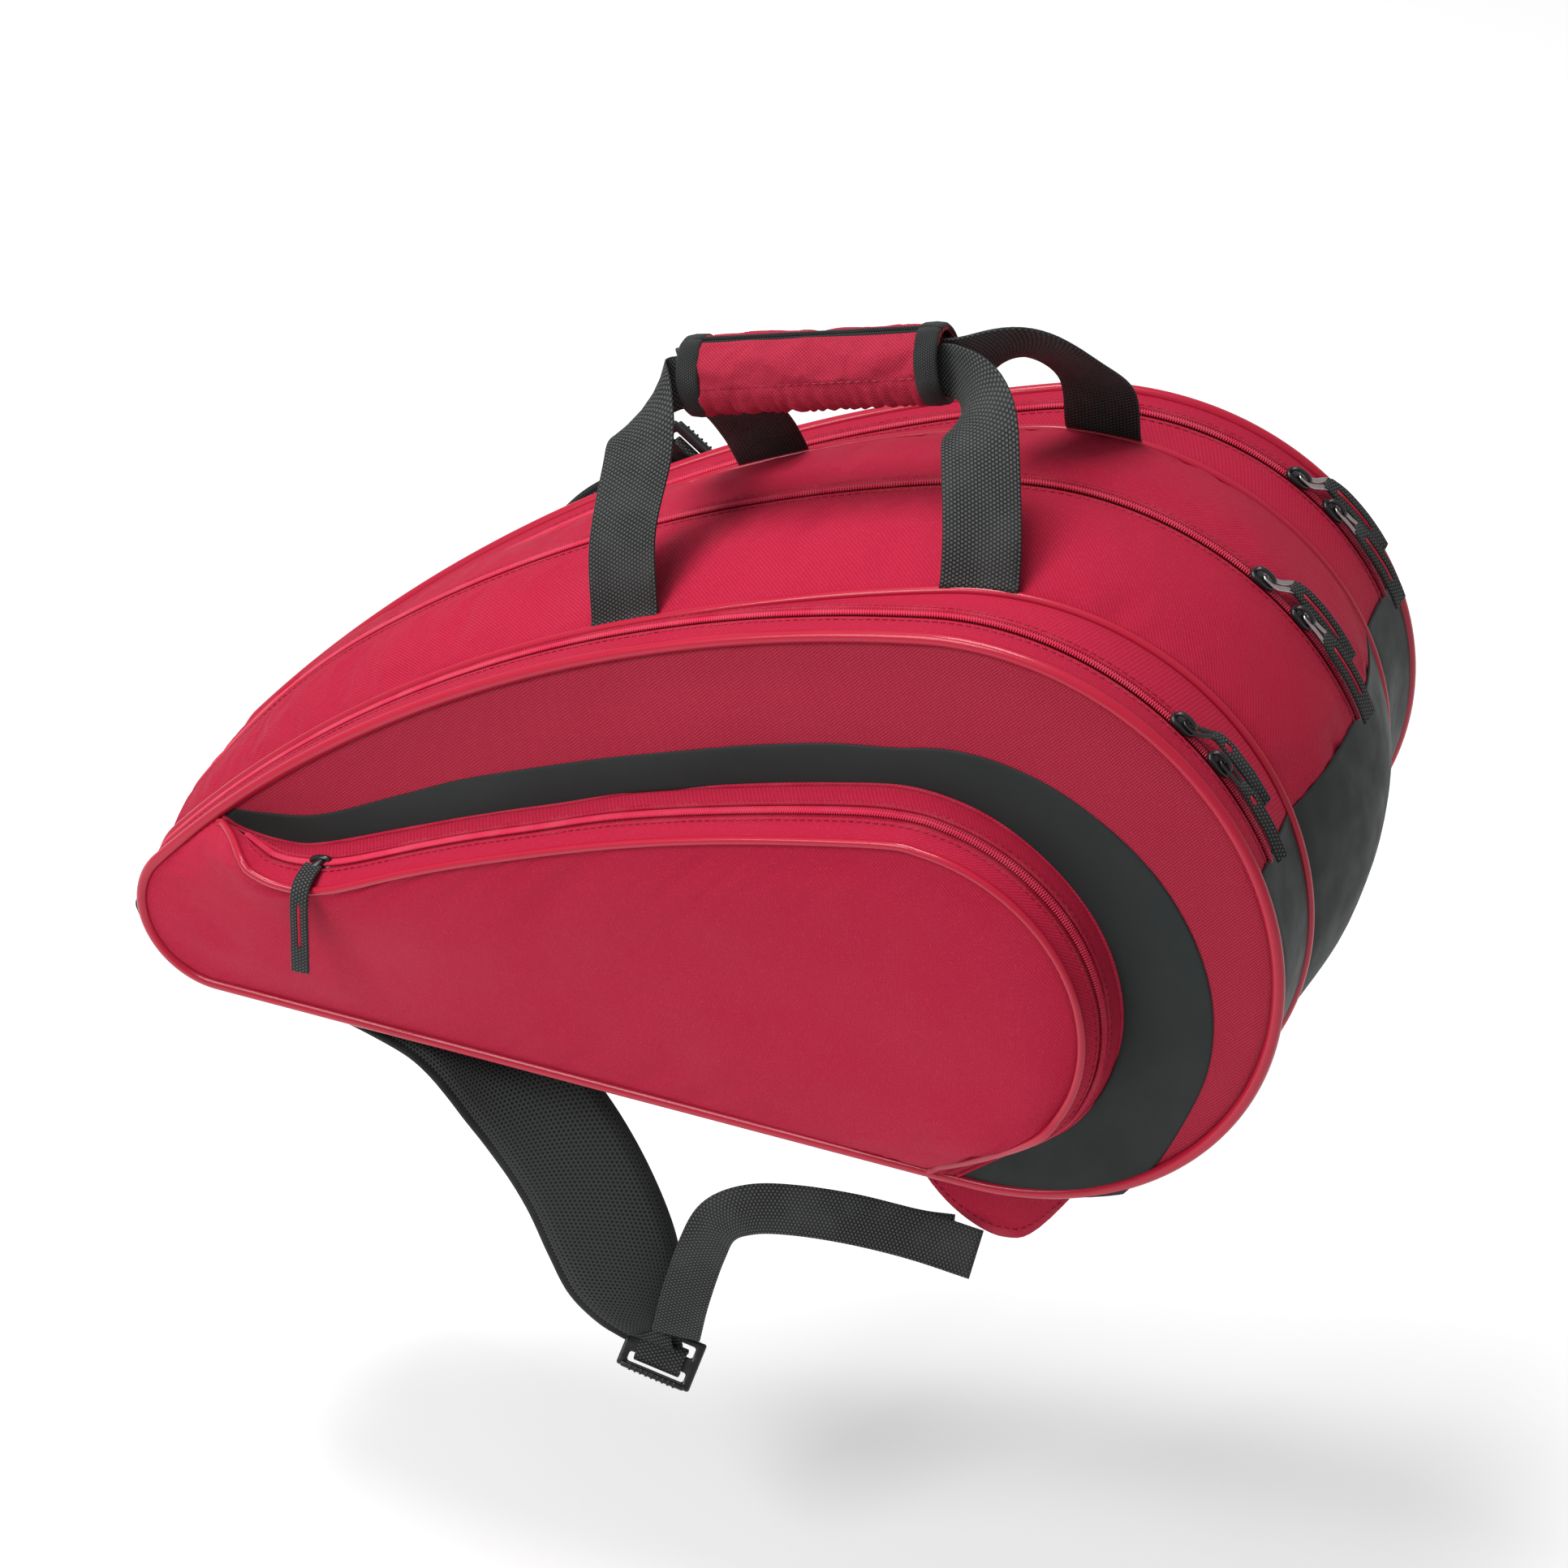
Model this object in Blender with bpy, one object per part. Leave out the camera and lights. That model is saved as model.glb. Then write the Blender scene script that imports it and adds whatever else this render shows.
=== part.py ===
"""Racket tournament bag, hanging from its carry handle.

The bag is a teardrop-outlined soft case with three zipped compartments side by side, a
zipped front pocket, a webbing carry handle with a wrap-around grip, and two shoulder straps.

Frame: the origin is the middle of the carry handle's grip, where a hand or a hook holds the bag.
+X runs along the bag to its fat end, +Y runs from the front cover to the rear cover, and +Z is up.
All sizes below are in millimetres and become metres when a mesh is made.
"""
import math

import bpy
import bmesh
from mathutils import Matrix, Vector

MM = 0.001
GAP = 0.3                    # clearance between pieces that touch

# The outline in side view: a fat-end circle, a narrow-end circle, the long arc over their tops,
# and the flat underside below them.
FAT_X = 113.5
FAT_Z = -210.5
FAT_R = 155.0
NARROW_X = -293.0
NARROW_R = 44.0
TOP_R = 728.0
BASE_Z = FAT_Z - FAT_R
NARROW_Z = BASE_Z + NARROW_R
TIP_X = NARROW_X - NARROW_R
END_X = FAT_X + FAT_R

# Half widths of the bag, measured from its middle plane.
HALF_AT_TIP = 70.0
HALF_AT_END = 144.0
SIDE_DEPTH_TIP = 28.0        # depth of an outer compartment at the narrow end
SIDE_DEPTH_END = 60.0        # and at the fat end
CROWN = 15.0                 # how far the middle compartment's top swells

WALL = 3.0                   # padded fabric wall
SKIN_INSET = 2.5             # the gussets lie this far inside the piping's outer edge
PIPING_R = 4.0
ZIP_FROM_EDGE = 20.0         # an outer zip runs this far in from its cover's edge
ZIP_HALF = 2.0               # half width of a zip's closed teeth
ZIP_TEETH_H = 1.2            # how far the teeth stand above the tape

BLACK_TOP_ANGLE = 23.8       # the end panel reaches this high on the fat-end circle
SLIDER_ANGLE = 52.0          # where the zip sliders rest on the fat-end circle
SLIDER_STEP = 9.0            # degrees between the two sliders of one zip
ZIP_START_ANGLE = 22.0       # the zips begin this far round the narrow-end circle
END_PANEL_UNDER = 30.0       # the end panel wraps this far under the base

# The front pocket's rim on the front cover: a round fat end and a gently curved top edge.
POCKET_X = 88.0
POCKET_Z = -243.0
POCKET_R = 102.0
POCKET_DEPTH = 35.0
POCKET_END_DEPTH = 4.0       # its depth where the side wall starts and ends
POCKET_INSET = 11.0          # the pocket's front ridge is this much smaller than its rim
POCKET_ZIP_AT = 0.45         # share of the side wall below the pocket's zip
POCKET_ZIP_W = 3.6
POCKET_WALL = 2.0
POCKET_TOP_EDGE = [(-45.0, -175.0), (-135.0, -213.0), (-222.0, -254.0), (-268.0, -258.0)]

GRIP_TILT = 12.3             # the grip follows the slope of the bag's top
GRIP_HALF = 65.0
GRIP_R = 19.0
WRAP_WALL = 2.5
WRAP_SEAM_GAP = 3.0          # degrees that each half of the wrap stays clear of the top seam
WEBBING_W = 38.0
WEBBING_T = 1.6

PAD_W = 62.0
PAD_T = 9.0
STRAP_WEB_W = 25.0

# Places on the joint axes.
WRAP_SEAM = (0.0, 0.0, -GRIP_R / math.cos(math.radians(GRIP_TILT)))     # the wrap opens about this seam
NEAR_PAD_SEAM = (-150.0, -68.0, BASE_Z - 24.0)  # where the near strap's pad starts to hang
NEAR_LOCK_BAR = (-52.5, -81.5, -524.5)          # the upper bar of the near strap's ladder lock
FAR_PAD_SEAM = (-222.0, 88.0, BASE_Z - 6.0)     # where the far strap's pad leaves the base
FAR_LOCK_BAR = (-109.5, 112.0, -138.5)          # the lower bar of the far strap's ladder lock


def mix(a, b, t):
    return a + (b - a) * t


def smooth(t):
    t = min(max(t, 0.0), 1.0)
    return t * t * (3.0 - 2.0 * t)


# ---------------------------------------------------------------- materials

def material(name, colour, roughness):
    mat = bpy.data.materials.new(name)
    mat.use_nodes = True
    shader = mat.node_tree.nodes["Principled BSDF"]
    shader.inputs["Base Color"].default_value = (*colour, 1.0)
    shader.inputs["Roughness"].default_value = roughness
    shader.inputs["Metallic"].default_value = 0.0
    return mat


def make_materials():
    return {
        "red": material("red_fabric", (0.42, 0.02, 0.06), 0.8),
        "piping": material("red_piping", (0.48, 0.02, 0.05), 0.35),
        "zip": material("red_zip", (0.40, 0.02, 0.06), 0.6),
        "black": material("black_fabric", (0.03, 0.035, 0.035), 0.7),
        "lining": material("lining_fabric", (0.05, 0.05, 0.055), 0.8),
        "webbing": material("black_webbing", (0.02, 0.02, 0.02), 0.85),
        "mesh": material("black_mesh", (0.025, 0.025, 0.025), 0.9),
        "plastic": material("black_plastic", (0.015, 0.015, 0.015), 0.3),
    }


# ---------------------------------------------------------------- mesh helpers

def hang_under(obj, parent):
    """Parents obj so that its own location stays in the bag's frame."""
    bpy.context.scene.collection.objects.link(obj)
    if parent is not None:
        obj.parent = parent
        obj.matrix_parent_inverse = Matrix.Translation(-parent.location)


def joint_frame(name, place, parent=None):
    """An empty at a place (mm) on a body's joint axis; the body's pieces hang under it."""
    frame = bpy.data.objects.new(name + "_frame", None)
    frame.location = Vector(place) * MM
    hang_under(frame, parent)
    return frame


def add_object(name, mesh, mat, parent, matrix=None):
    obj = bpy.data.objects.new(name, mesh)
    if not mesh.materials:
        mesh.materials.append(mat)
    if matrix is not None:
        obj.matrix_basis = matrix
    hang_under(obj, parent)
    return obj


def finish_mesh(name, bm, smooth_angle=35.0):
    bmesh.ops.recalc_face_normals(bm, faces=bm.faces)
    mesh = bpy.data.meshes.new(name)
    bm.to_mesh(mesh)
    bm.free()
    mesh.shade_smooth()
    mesh.set_sharp_from_angle(angle=math.radians(smooth_angle))
    return mesh


def swept_mesh(name, rings, closed=False):
    """A solid through equal-sized rings of points given in millimetres."""
    bm = bmesh.new()
    loops = [[bm.verts.new(Vector(point) * MM) for point in ring] for ring in rings]
    size = len(rings[0])
    last = len(loops) if closed else len(loops) - 1
    for i in range(last):
        here, there = loops[i], loops[(i + 1) % len(loops)]
        for k in range(size):
            j = (k + 1) % size
            bm.faces.new((here[k], here[j], there[j], there[k]))
    if not closed:
        bm.faces.new(loops[0])
        bm.faces.new(loops[-1])
    return finish_mesh(name, bm)


def block_mesh(name, xs, ys, zs, filled, shift=None):
    """A solid made of the filled cells of a grid; filled(i, j, k) says which.

    shift(x) moves the places at x, which bends a flat shape.
    """
    bm = bmesh.new()
    verts = {}

    def vert(i, j, k):
        if (i, j, k) not in verts:
            place = Vector((xs[i], ys[j], zs[k]))
            if shift:
                place += Vector(shift(xs[i]))
            verts[i, j, k] = bm.verts.new(place * MM)
        return verts[i, j, k]

    size = (len(xs) - 1, len(ys) - 1, len(zs) - 1)

    def is_full(cell):
        inside = all(0 <= cell[a] < size[a] for a in range(3))
        return inside and filled(*cell)

    for i in range(size[0]):
        for j in range(size[1]):
            for k in range(size[2]):
                if not is_full((i, j, k)):
                    continue
                for axis in range(3):
                    for side in (0, 1):
                        beside = [i, j, k]
                        beside[axis] += 1 if side else -1
                        if is_full(tuple(beside)):
                            continue
                        corner = [i, j, k]
                        corner[axis] += side
                        a, b = [n for n in range(3) if n != axis]
                        square = []
                        for da, db in ((0, 0), (1, 0), (1, 1), (0, 1)):
                            point = list(corner)
                            point[a] += da
                            point[b] += db
                            square.append(vert(*point))
                        bm.faces.new(square)
    return finish_mesh(name, bm)


# ---------------------------------------------------------------- the outline

def top_arc_centre():
    """Centre of the long arc that touches both end circles from inside."""
    to_fat, to_narrow = TOP_R - FAT_R, TOP_R - NARROW_R
    dx, dz = NARROW_X - FAT_X, NARROW_Z - FAT_Z
    span = math.hypot(dx, dz)
    reach = (to_fat ** 2 - to_narrow ** 2 + span ** 2) / (2.0 * span)
    drop = math.sqrt(to_fat ** 2 - reach ** 2)
    ux, uz = dx / span, dz / span
    return FAT_X + ux * reach - uz * drop, FAT_Z + uz * reach + ux * drop


TOP_X, TOP_Z = top_arc_centre()
FAT_JOIN = math.atan2(FAT_Z - TOP_Z, FAT_X - TOP_X)
NARROW_JOIN = math.atan2(NARROW_Z - TOP_Z, NARROW_X - TOP_X)
ARCS = [
    (FAT_X, FAT_Z, FAT_R, -math.pi / 2, FAT_JOIN, 9.0),
    (TOP_X, TOP_Z, TOP_R, FAT_JOIN, NARROW_JOIN, 2.2),
    (NARROW_X, NARROW_Z, NARROW_R, NARROW_JOIN, 1.5 * math.pi, 16.0),
]
ARC_LENGTHS = [r * (a1 - a0) for _, _, r, a0, a1, _ in ARCS]
BASE_LENGTH = FAT_X - NARROW_X
PERIMETER = sum(ARC_LENGTHS) + BASE_LENGTH


def on_fat_end(degrees):
    """Distance round the outline of a place on the fat-end circle."""
    return FAT_R * (math.radians(degrees) + math.pi / 2)


ZIP_START = ARC_LENGTHS[0] + ARC_LENGTHS[1] + NARROW_R * math.radians(ZIP_START_ANGLE)
ZIP_END = on_fat_end(BLACK_TOP_ANGLE)
BASE_END = PERIMETER - END_PANEL_UNDER


def outline_at(s, inset=0.0):
    """Point and outward direction (x, z, nx, nz) at distance s round the outline."""
    s = s % PERIMETER
    for (cx, cz, radius, a0, a1, _), length in zip(ARCS, ARC_LENGTHS):
        if s <= length:
            angle = a0 + s / radius
            nx, nz = math.cos(angle), math.sin(angle)
            return cx + (radius - inset) * nx, cz + (radius - inset) * nz, nx, nz
        s -= length
    return NARROW_X + s, BASE_Z + inset, 0.0, -1.0


def stations(s0, s1):
    """Distances from s0 to s1, close together where the outline is tightly curved."""
    marks = []
    start = 0.0
    for (_, _, _, a0, a1, step), length in zip(ARCS, ARC_LENGTHS):
        count = max(2, round(math.degrees(a1 - a0) / step))
        marks += [start + length * i / count for i in range(count)]
        start += length
    marks += [start + BASE_LENGTH * i / 5 for i in range(5)]
    shifted = [m + PERIMETER * turn for turn in (-1, 0, 1) for m in marks]
    inner = [m for m in shifted if s0 + 3.0 < m < s1 - 3.0]
    return [s0] + sorted(inner) + [s1]


def outline_heights(x, inset):
    """Bottom and top of the inset outline at x."""
    bottom = BASE_Z + inset
    if x > FAT_X:
        bottom = FAT_Z - math.sqrt(max((FAT_R - inset) ** 2 - (x - FAT_X) ** 2, 0.0))
    if x < NARROW_X:
        bottom = NARROW_Z - math.sqrt(max((NARROW_R - inset) ** 2 - (x - NARROW_X) ** 2, 0.0))
    if x > FAT_X + (FAT_R - inset) * math.cos(FAT_JOIN):
        top = FAT_Z + math.sqrt(max((FAT_R - inset) ** 2 - (x - FAT_X) ** 2, 0.0))
    elif x < NARROW_X + (NARROW_R - inset) * math.cos(NARROW_JOIN):
        top = NARROW_Z + math.sqrt(max((NARROW_R - inset) ** 2 - (x - NARROW_X) ** 2, 0.0))
    else:
        top = TOP_Z + math.sqrt((TOP_R - inset) ** 2 - (x - TOP_X) ** 2)
    return bottom, top


def outer_half(x):
    """Distance of the covers from the middle plane; the covers are flat, so it is linear."""
    return mix(HALF_AT_TIP, HALF_AT_END, (x - TIP_X) / (END_X - TIP_X))


def inner_half(x):
    """Distance of the two dividers from the middle plane."""
    return outer_half(x) - mix(SIDE_DEPTH_TIP, SIDE_DEPTH_END, smooth((x + 80.0) / 350.0))


def swell(y, x, z):
    """How far the middle compartment's skin stands out beyond the outline."""
    half = inner_half(x)
    if abs(y) >= half:
        return 0.0
    rise = CROWN * smooth((z - BASE_Z - 20.0) / 150.0)
    return rise * (1.0 - (y / half) ** 2)


# ---------------------------------------------------------------- shells of the bag

def band(name, mat, parent, s0, s1, edges, depth=SKIN_INSET, wall=WALL):
    """A strip of wall that follows the outline; edges(x) lists the y places across it."""
    rings = []
    for s in stations(s0, s1):
        x, z, nx, nz = outline_at(s)
        ys = edges(x)
        outside = [swell(y, x, z) - depth for y in ys]
        ring = [(x + nx * n, y, z + nz * n) for y, n in zip(ys, outside)]
        inside = [n - wall for n in outside]
        ring += [(x + nx * n, y, z + nz * n) for y, n in zip(ys[::-1], inside[::-1])]
        rings.append(ring)
    return add_object(name, swept_mesh(name, rings), mat, parent)


def across(low, high, count):
    """An edges function with count places from low(x) to high(x)."""
    return lambda x: [mix(low(x), high(x), i / (count - 1)) for i in range(count)]


def plate(name, mat, parent, inset, front, rear):
    """A panel that fills the inset outline between y = front(x) and y = rear(x)."""
    left, right = TIP_X + inset, END_X - inset
    count = 30
    rings = []
    for i in range(count + 1):
        turn = math.radians(mix(177.0, 3.0, i / count))
        x = mix(left, right, (1.0 + math.cos(turn)) / 2.0)
        bottom, top = outline_heights(x, inset)
        rings.append([(x, front(x), bottom), (x, front(x), top), (x, rear(x), top), (x, rear(x), bottom)])
    return add_object(name, swept_mesh(name, rings), mat, parent)


def piping(name, mat, parent, y_of, inset=PIPING_R, radius=PIPING_R, sides=6):
    """A cord sewn all the way round the outline at y = y_of(x)."""
    rings = []
    for s in stations(0.0, PERIMETER)[:-1]:
        x, z, nx, nz = outline_at(s, inset)
        y = y_of(x)
        turns = [2.0 * math.pi * k / sides for k in range(sides)]
        rings.append([(x + nx * radius * math.cos(t), y + radius * math.sin(t),
                       z + nz * radius * math.cos(t)) for t in turns])
    return add_object(name, swept_mesh(name, rings, closed=True), mat, parent)


def zip_line(name, mat, parent, y_of, s0, s1):
    """A closed zip: one ridge of teeth set between the two strips that it joins."""
    half = ZIP_HALF - GAP
    return band(name, mat, parent, s0, s1, across(lambda x: y_of(x) - half, lambda x: y_of(x) + half, 2),
                SKIN_INSET - ZIP_TEETH_H, WALL + ZIP_TEETH_H)


def front_zip_y(x):
    return -outer_half(x) + ZIP_FROM_EDGE


def rear_zip_y(x):
    return outer_half(x) - ZIP_FROM_EDGE


def middle_y(x):
    return 0.0


def build_compartments(mats, bag):
    edge = PIPING_R + 0.5
    strip = ZIP_HALF
    zip0, zip1 = ZIP_END + GAP, ZIP_START - GAP
    inner_low = lambda x: -inner_half(x) + GAP
    inner_high = lambda x: inner_half(x) - GAP
    band("front_gusset", mats["red"], bag, zip0, zip1,
         across(lambda x: front_zip_y(x) + strip, lambda x: -inner_half(x), 2))
    band("middle_gusset_front", mats["red"], bag, zip0, zip1, across(inner_low, lambda x: -strip, 4))
    band("middle_gusset_rear", mats["red"], bag, zip0, zip1, across(lambda x: strip, inner_high, 4))
    band("rear_gusset", mats["red"], bag, zip0, zip1,
         across(lambda x: inner_half(x), lambda x: rear_zip_y(x) - strip, 2))
    full = lambda x: ([-outer_half(x) + edge] + across(inner_low, inner_high, 5)(x)
                      + [outer_half(x) - edge])
    band("end_panel", mats["black"], bag, -END_PANEL_UNDER, ZIP_END, full)
    band("base_panel", mats["black"], bag, ZIP_START, BASE_END - GAP, full)
    for name, y_of in (("front_zip", front_zip_y), ("middle_zip", middle_y), ("rear_zip", rear_zip_y)):
        zip_line(name, mats["zip"], bag, y_of, zip0, zip1)
    inside = SKIN_INSET + WALL + 1.2
    plate("front_divider", mats["lining"], bag, inside, lambda x: -inner_half(x) - 1.2,
          lambda x: -inner_half(x) + 1.2)
    plate("rear_divider", mats["lining"], bag, inside, lambda x: inner_half(x) - 1.2,
          lambda x: inner_half(x) + 1.2)


def build_cover(side, mats, cover):
    """The front (side -1) or rear (side +1) cover with its piping and its strip up to the zip."""
    word = "front" if side < 0 else "rear"
    edge = PIPING_R + 0.5
    near = lambda x: side * (outer_half(x) - edge)
    far = lambda x: side * (outer_half(x) - ZIP_FROM_EDGE + ZIP_HALF)
    band(word + "_edge_strip", mats["red"], cover, ZIP_END + GAP, ZIP_START - GAP, across(near, far, 2))
    piping(word + "_piping", mats["piping"], cover, lambda x: side * outer_half(x))
    inset = 2.0 * PIPING_R + 0.4
    plate(word + "_cover_panel", mats["red"], cover, inset, lambda x: side * (outer_half(x) - WALL),
          lambda x: side * (outer_half(x) + 1.0))


# ---------------------------------------------------------------- front pocket

def curve_through(points, steps):
    """Points of a smooth curve through the given points (Catmull-Rom)."""
    ends = [Vector(points[0]) * 2 - Vector(points[1])] + [Vector(p) for p in points]
    ends.append(Vector(points[-1]) * 2 - Vector(points[-2]))
    result = []
    for i in range(1, len(ends) - 2):
        p0, p1, p2, p3 = ends[i - 1:i + 3]
        for k in range(steps):
            t = k / steps
            result.append(0.5 * ((2 * p1) + (p2 - p0) * t + (2 * p0 - 5 * p1 + 4 * p2 - p3) * t ** 2
                                 + (3 * p1 - p0 - 3 * p2 + p3) * t ** 3))
    result.append(ends[-2])
    return result


def pocket_rim():
    """The rim on the cover, from the base round the fat end to the narrow end's top."""
    arc = []
    count = 12
    for i in range(count + 1):
        angle = math.radians(mix(-72.0, 98.0, i / count))
        arc.append((POCKET_X + POCKET_R * math.cos(angle), POCKET_Z + POCKET_R * math.sin(angle)))
    top = curve_through([arc[-1]] + POCKET_TOP_EDGE, 3)
    return [Vector(p) for p in arc] + top[1:]


def pocket_foot(rim):
    """The line on the cover's edge that faces the rim: along the base and round the narrow end."""
    inset = 2.0 * PIPING_R + 3.0
    s0 = PERIMETER - 8.0
    s1 = ARC_LENGTHS[0] + ARC_LENGTHS[1] + NARROW_R * math.radians(30.0)
    feet = []
    count = len(rim) - 1
    for i in range(count + 1):
        x, z, _, _ = outline_at(mix(s0, s1, i / count), inset)
        feet.append(Vector((x, z)))
    return feet


def front_face_y(x, out):
    """The y of a place that stands out from the front cover's panel."""
    return -outer_half(x) - 1.0 - GAP - out


def build_pocket(mats, cover):
    rim = pocket_rim()
    feet = pocket_foot(rim)
    count = len(rim) - 1
    centre = Vector((POCKET_X - 60.0, POCKET_Z - 20.0))
    gusset_rings, zip_rings, face_rings, middles = [], [], [], []
    for i in range(count + 1):
        u = i / count
        fullness = smooth(u / 0.14) * smooth((1.0 - u) / 0.10)
        depth = mix(POCKET_END_DEPTH, POCKET_DEPTH, fullness)
        back = rim[max(i - 1, 0)]
        ahead = rim[min(i + 1, count)]
        along = (ahead - back).normalized()
        inward = Vector((-along.y, along.x))
        if inward.dot(centre - rim[i]) < 0:
            inward.negate()

        def point(part, deeper=0.0):
            """A place on the pocket's side wall: part 0 is the rim, 1 is the ridge."""
            inset = POCKET_INSET * part * depth / POCKET_DEPTH + deeper
            place = rim[i] + inward * inset
            return (place.x, front_face_y(place.x, depth * part), place.y)

        def shifted(spot, out):
            return (spot[0], spot[1] + out, spot[2])

        wall = POCKET_WALL
        zip_low, zip_high = POCKET_ZIP_AT, POCKET_ZIP_AT + POCKET_ZIP_W / depth
        gusset_rings.append([point(0.0), point(zip_low), point(zip_low, wall), point(0.0, wall)])
        low, high = zip_low + GAP / depth, zip_high - GAP / depth
        zip_rings.append([point(low, -0.8), point(high, -0.8), point(high, wall), point(low, wall)])
        slope = Vector(point(1.0)) - Vector(point(0.0))
        out = slope.cross(Vector((along.x, 0.0, along.y)))
        if out.dot((inward.x, 0.0, inward.y)) > 0:
            out.negate()
        middles.append((Vector(point((low + high) / 2.0, -0.7)), out))
        foot = feet[i]
        foot_out = (foot.x, front_face_y(foot.x, wall + 0.4), foot.y)
        foot_in = (foot.x, front_face_y(foot.x, 0.4), foot.y)
        ridge_in = shifted(point(1.0, wall), wall)
        face_rings.append([point(zip_high), point(1.0), foot_out, foot_in, ridge_in, point(zip_high, wall)])
    add_object("pocket_gusset", swept_mesh("pocket_gusset", gusset_rings), mats["red"], cover)
    add_object("pocket_zip", swept_mesh("pocket_zip", zip_rings[1:-1]), mats["zip"], cover)
    add_object("pocket_face", swept_mesh("pocket_face", face_rings), mats["red"], cover)
    spot, out = middles[-4]
    return spot, middles[-3][0] - middles[-5][0], out


# ---------------------------------------------------------------- ribbons: webbing and pads

VIEW_SIDE = Vector((0.25, -0.80, 0.55))      # the way the hanging strap's broad side looks


def ribbon(name, mat, parent, points, sides, widths, thickness, steps=2):
    """A flat band along a smooth curve; sides give the direction of its width at each point."""
    path = curve_through(points, steps)
    across_path = curve_through(sides, steps)
    if isinstance(widths, (int, float)):
        widths = [widths] * len(points)
    spread = [w.x for w in curve_through([(w, 0.0) for w in widths], steps)]
    rings = []
    for i, place in enumerate(path):
        along = path[min(i + 1, len(path) - 1)] - path[max(i - 1, 0)]
        side = across_path[i].normalized()
        look = side.cross(along).normalized() * thickness / 2.0
        side = side * spread[i] / 2.0
        rings.append([place - side - look, place + side - look, place + side + look, place - side + look])
    return add_object(name, swept_mesh(name, rings), mat, parent)


def sides_facing(points, look):
    """Width directions that turn a ribbon's broad side towards look."""
    sides = []
    for i in range(len(points)):
        along = Vector(points[min(i + 1, len(points) - 1)]) - Vector(points[max(i - 1, 0)])
        sides.append(along.cross(look).normalized())
    return sides


def ladder_lock_mesh(name):
    """A ladder-lock buckle: a frame with two slots and a raised thumb lip along one edge."""
    xs = [-20.0, -15.5, 15.5, 20.0]
    ys = [-13.0, -9.5, -4.5, -0.5, 3.5, 9.5, 13.0]
    zs = [-2.0, 2.0, 4.5]
    slots = (1, 4)

    def filled(i, j, k):
        if k == 1:
            return j == 0
        return i != 1 or j not in slots

    return block_mesh(name, xs, ys, zs, filled)


def placed(origin, x_axis, z_axis):
    """A matrix that puts a part's own X and Z axes along the given directions."""
    x = Vector(x_axis).normalized()
    z = Vector(z_axis)
    z = (z - x * z.dot(x)).normalized()
    y = z.cross(x)
    matrix = Matrix((x, y, z)).transposed().to_4x4()
    matrix.translation = Vector(origin) * MM
    return matrix


# ---------------------------------------------------------------- sliders and their pulls

PULL_AXIS_Z = 4.75           # height of a pull's cross bar above the zip tape
PULL_ASIDE = 9.4             # the upper pull of a pair lies this far beside the lower one
TAB_BEND_R = 110.0


def slider_mesh(name):
    """A zip slider: a saddle over the teeth with a bridge that the pull hooks under."""
    xs = [-7.0, -4.6, 4.6, 7.0]
    ys = [-4.6, -2.8, -1.5, 1.5, 2.8, 4.6]
    zs = [0.7, 2.1, 3.3, 6.2, 7.4]

    def filled(i, j, k):
        if k == 0:
            return j in (0, 4)
        if k == 1:
            return True
        if k == 2:
            return j == 2 and i != 1
        return j == 2

    return block_mesh(name, xs, ys, zs, filled)


def pull_mesh(name, length, half, slot, aside):
    """A pull: a cross bar under the slider's bridge, two arms, and a woven tab with a slot.

    The tab bends down towards the bag's rounded end, and may lie to one side.
    """
    middle = (slot[0] + slot[1]) / 2.0
    xs = [-1.0, 1.0, 8.6, 12.0, 17.0, 17.0 + slot[0], 17.0 + middle, 17.0 + slot[1], length]
    ys = [-half, -2.1, -1.0, 1.0, 2.1, half]
    zs = [3.95, 5.55]

    def filled(i, j, k):
        if i == 1:
            return j in (0, 4)
        if i in (5, 6):
            return j != 2
        return True

    def shift(x):
        droop = max(x - 12.0, 0.0) ** 2 / (2.0 * TAB_BEND_R)
        return (0.0, aside * smooth((x - 8.6) / 8.4), -droop)

    return block_mesh(name, xs, ys, zs, filled, shift)


def zip_frame(y_of, s):
    """Place and directions on a zip: its middle, the way down the fat end, and outward."""
    x, z, nx, nz = outline_at(s)
    y = y_of(x)
    out = swell(y, x, z) - SKIN_INSET
    lean = (y_of(x + 1.0) - y) * nz
    return (x + nx * out, y, z + nz * out), (nz, lean, -nx), (nx, 0.0, nz)


def build_sliders(mats, bag):
    """Two sliders and their pulls on each zip; each slider and each pull is a body of its own."""
    slider = slider_mesh("zip_slider")
    metal = {1: pull_mesh("long_pull_aside", 60.0, 4.2, (4.0, 30.0), PULL_ASIDE),
             2: pull_mesh("long_pull", 60.0, 4.2, (4.0, 30.0), 0.0)}
    cord = {1: pull_mesh("cord_pull_aside", 54.0, 3.4, (4.0, 8.0), PULL_ASIDE),
            2: pull_mesh("cord_pull", 54.0, 3.4, (4.0, 8.0), 0.0)}
    zips = (("front", front_zip_y, cord), ("middle", middle_y, metal), ("rear", rear_zip_y, metal))
    for word, y_of, pulls in zips:
        for number in (1, 2):
            s = on_fat_end(SLIDER_ANGLE - SLIDER_STEP * (number - 1))
            origin, down, out = zip_frame(y_of, s)
            matrix = placed(origin, down, out)
            turn = joint_frame(f"{word}_slider_{number}", (FAT_X, y_of(FAT_X), FAT_Z), bag)
            add_object(f"{word}_slider_{number}", slider, mats["plastic"], turn, matrix)
            flip = joint_frame(f"{word}_pull_{number}", Vector(origin) + Vector(out) * PULL_AXIS_Z, turn)
            add_object(f"{word}_pull_{number}", pulls[number], mats["webbing"], flip, matrix)


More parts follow.
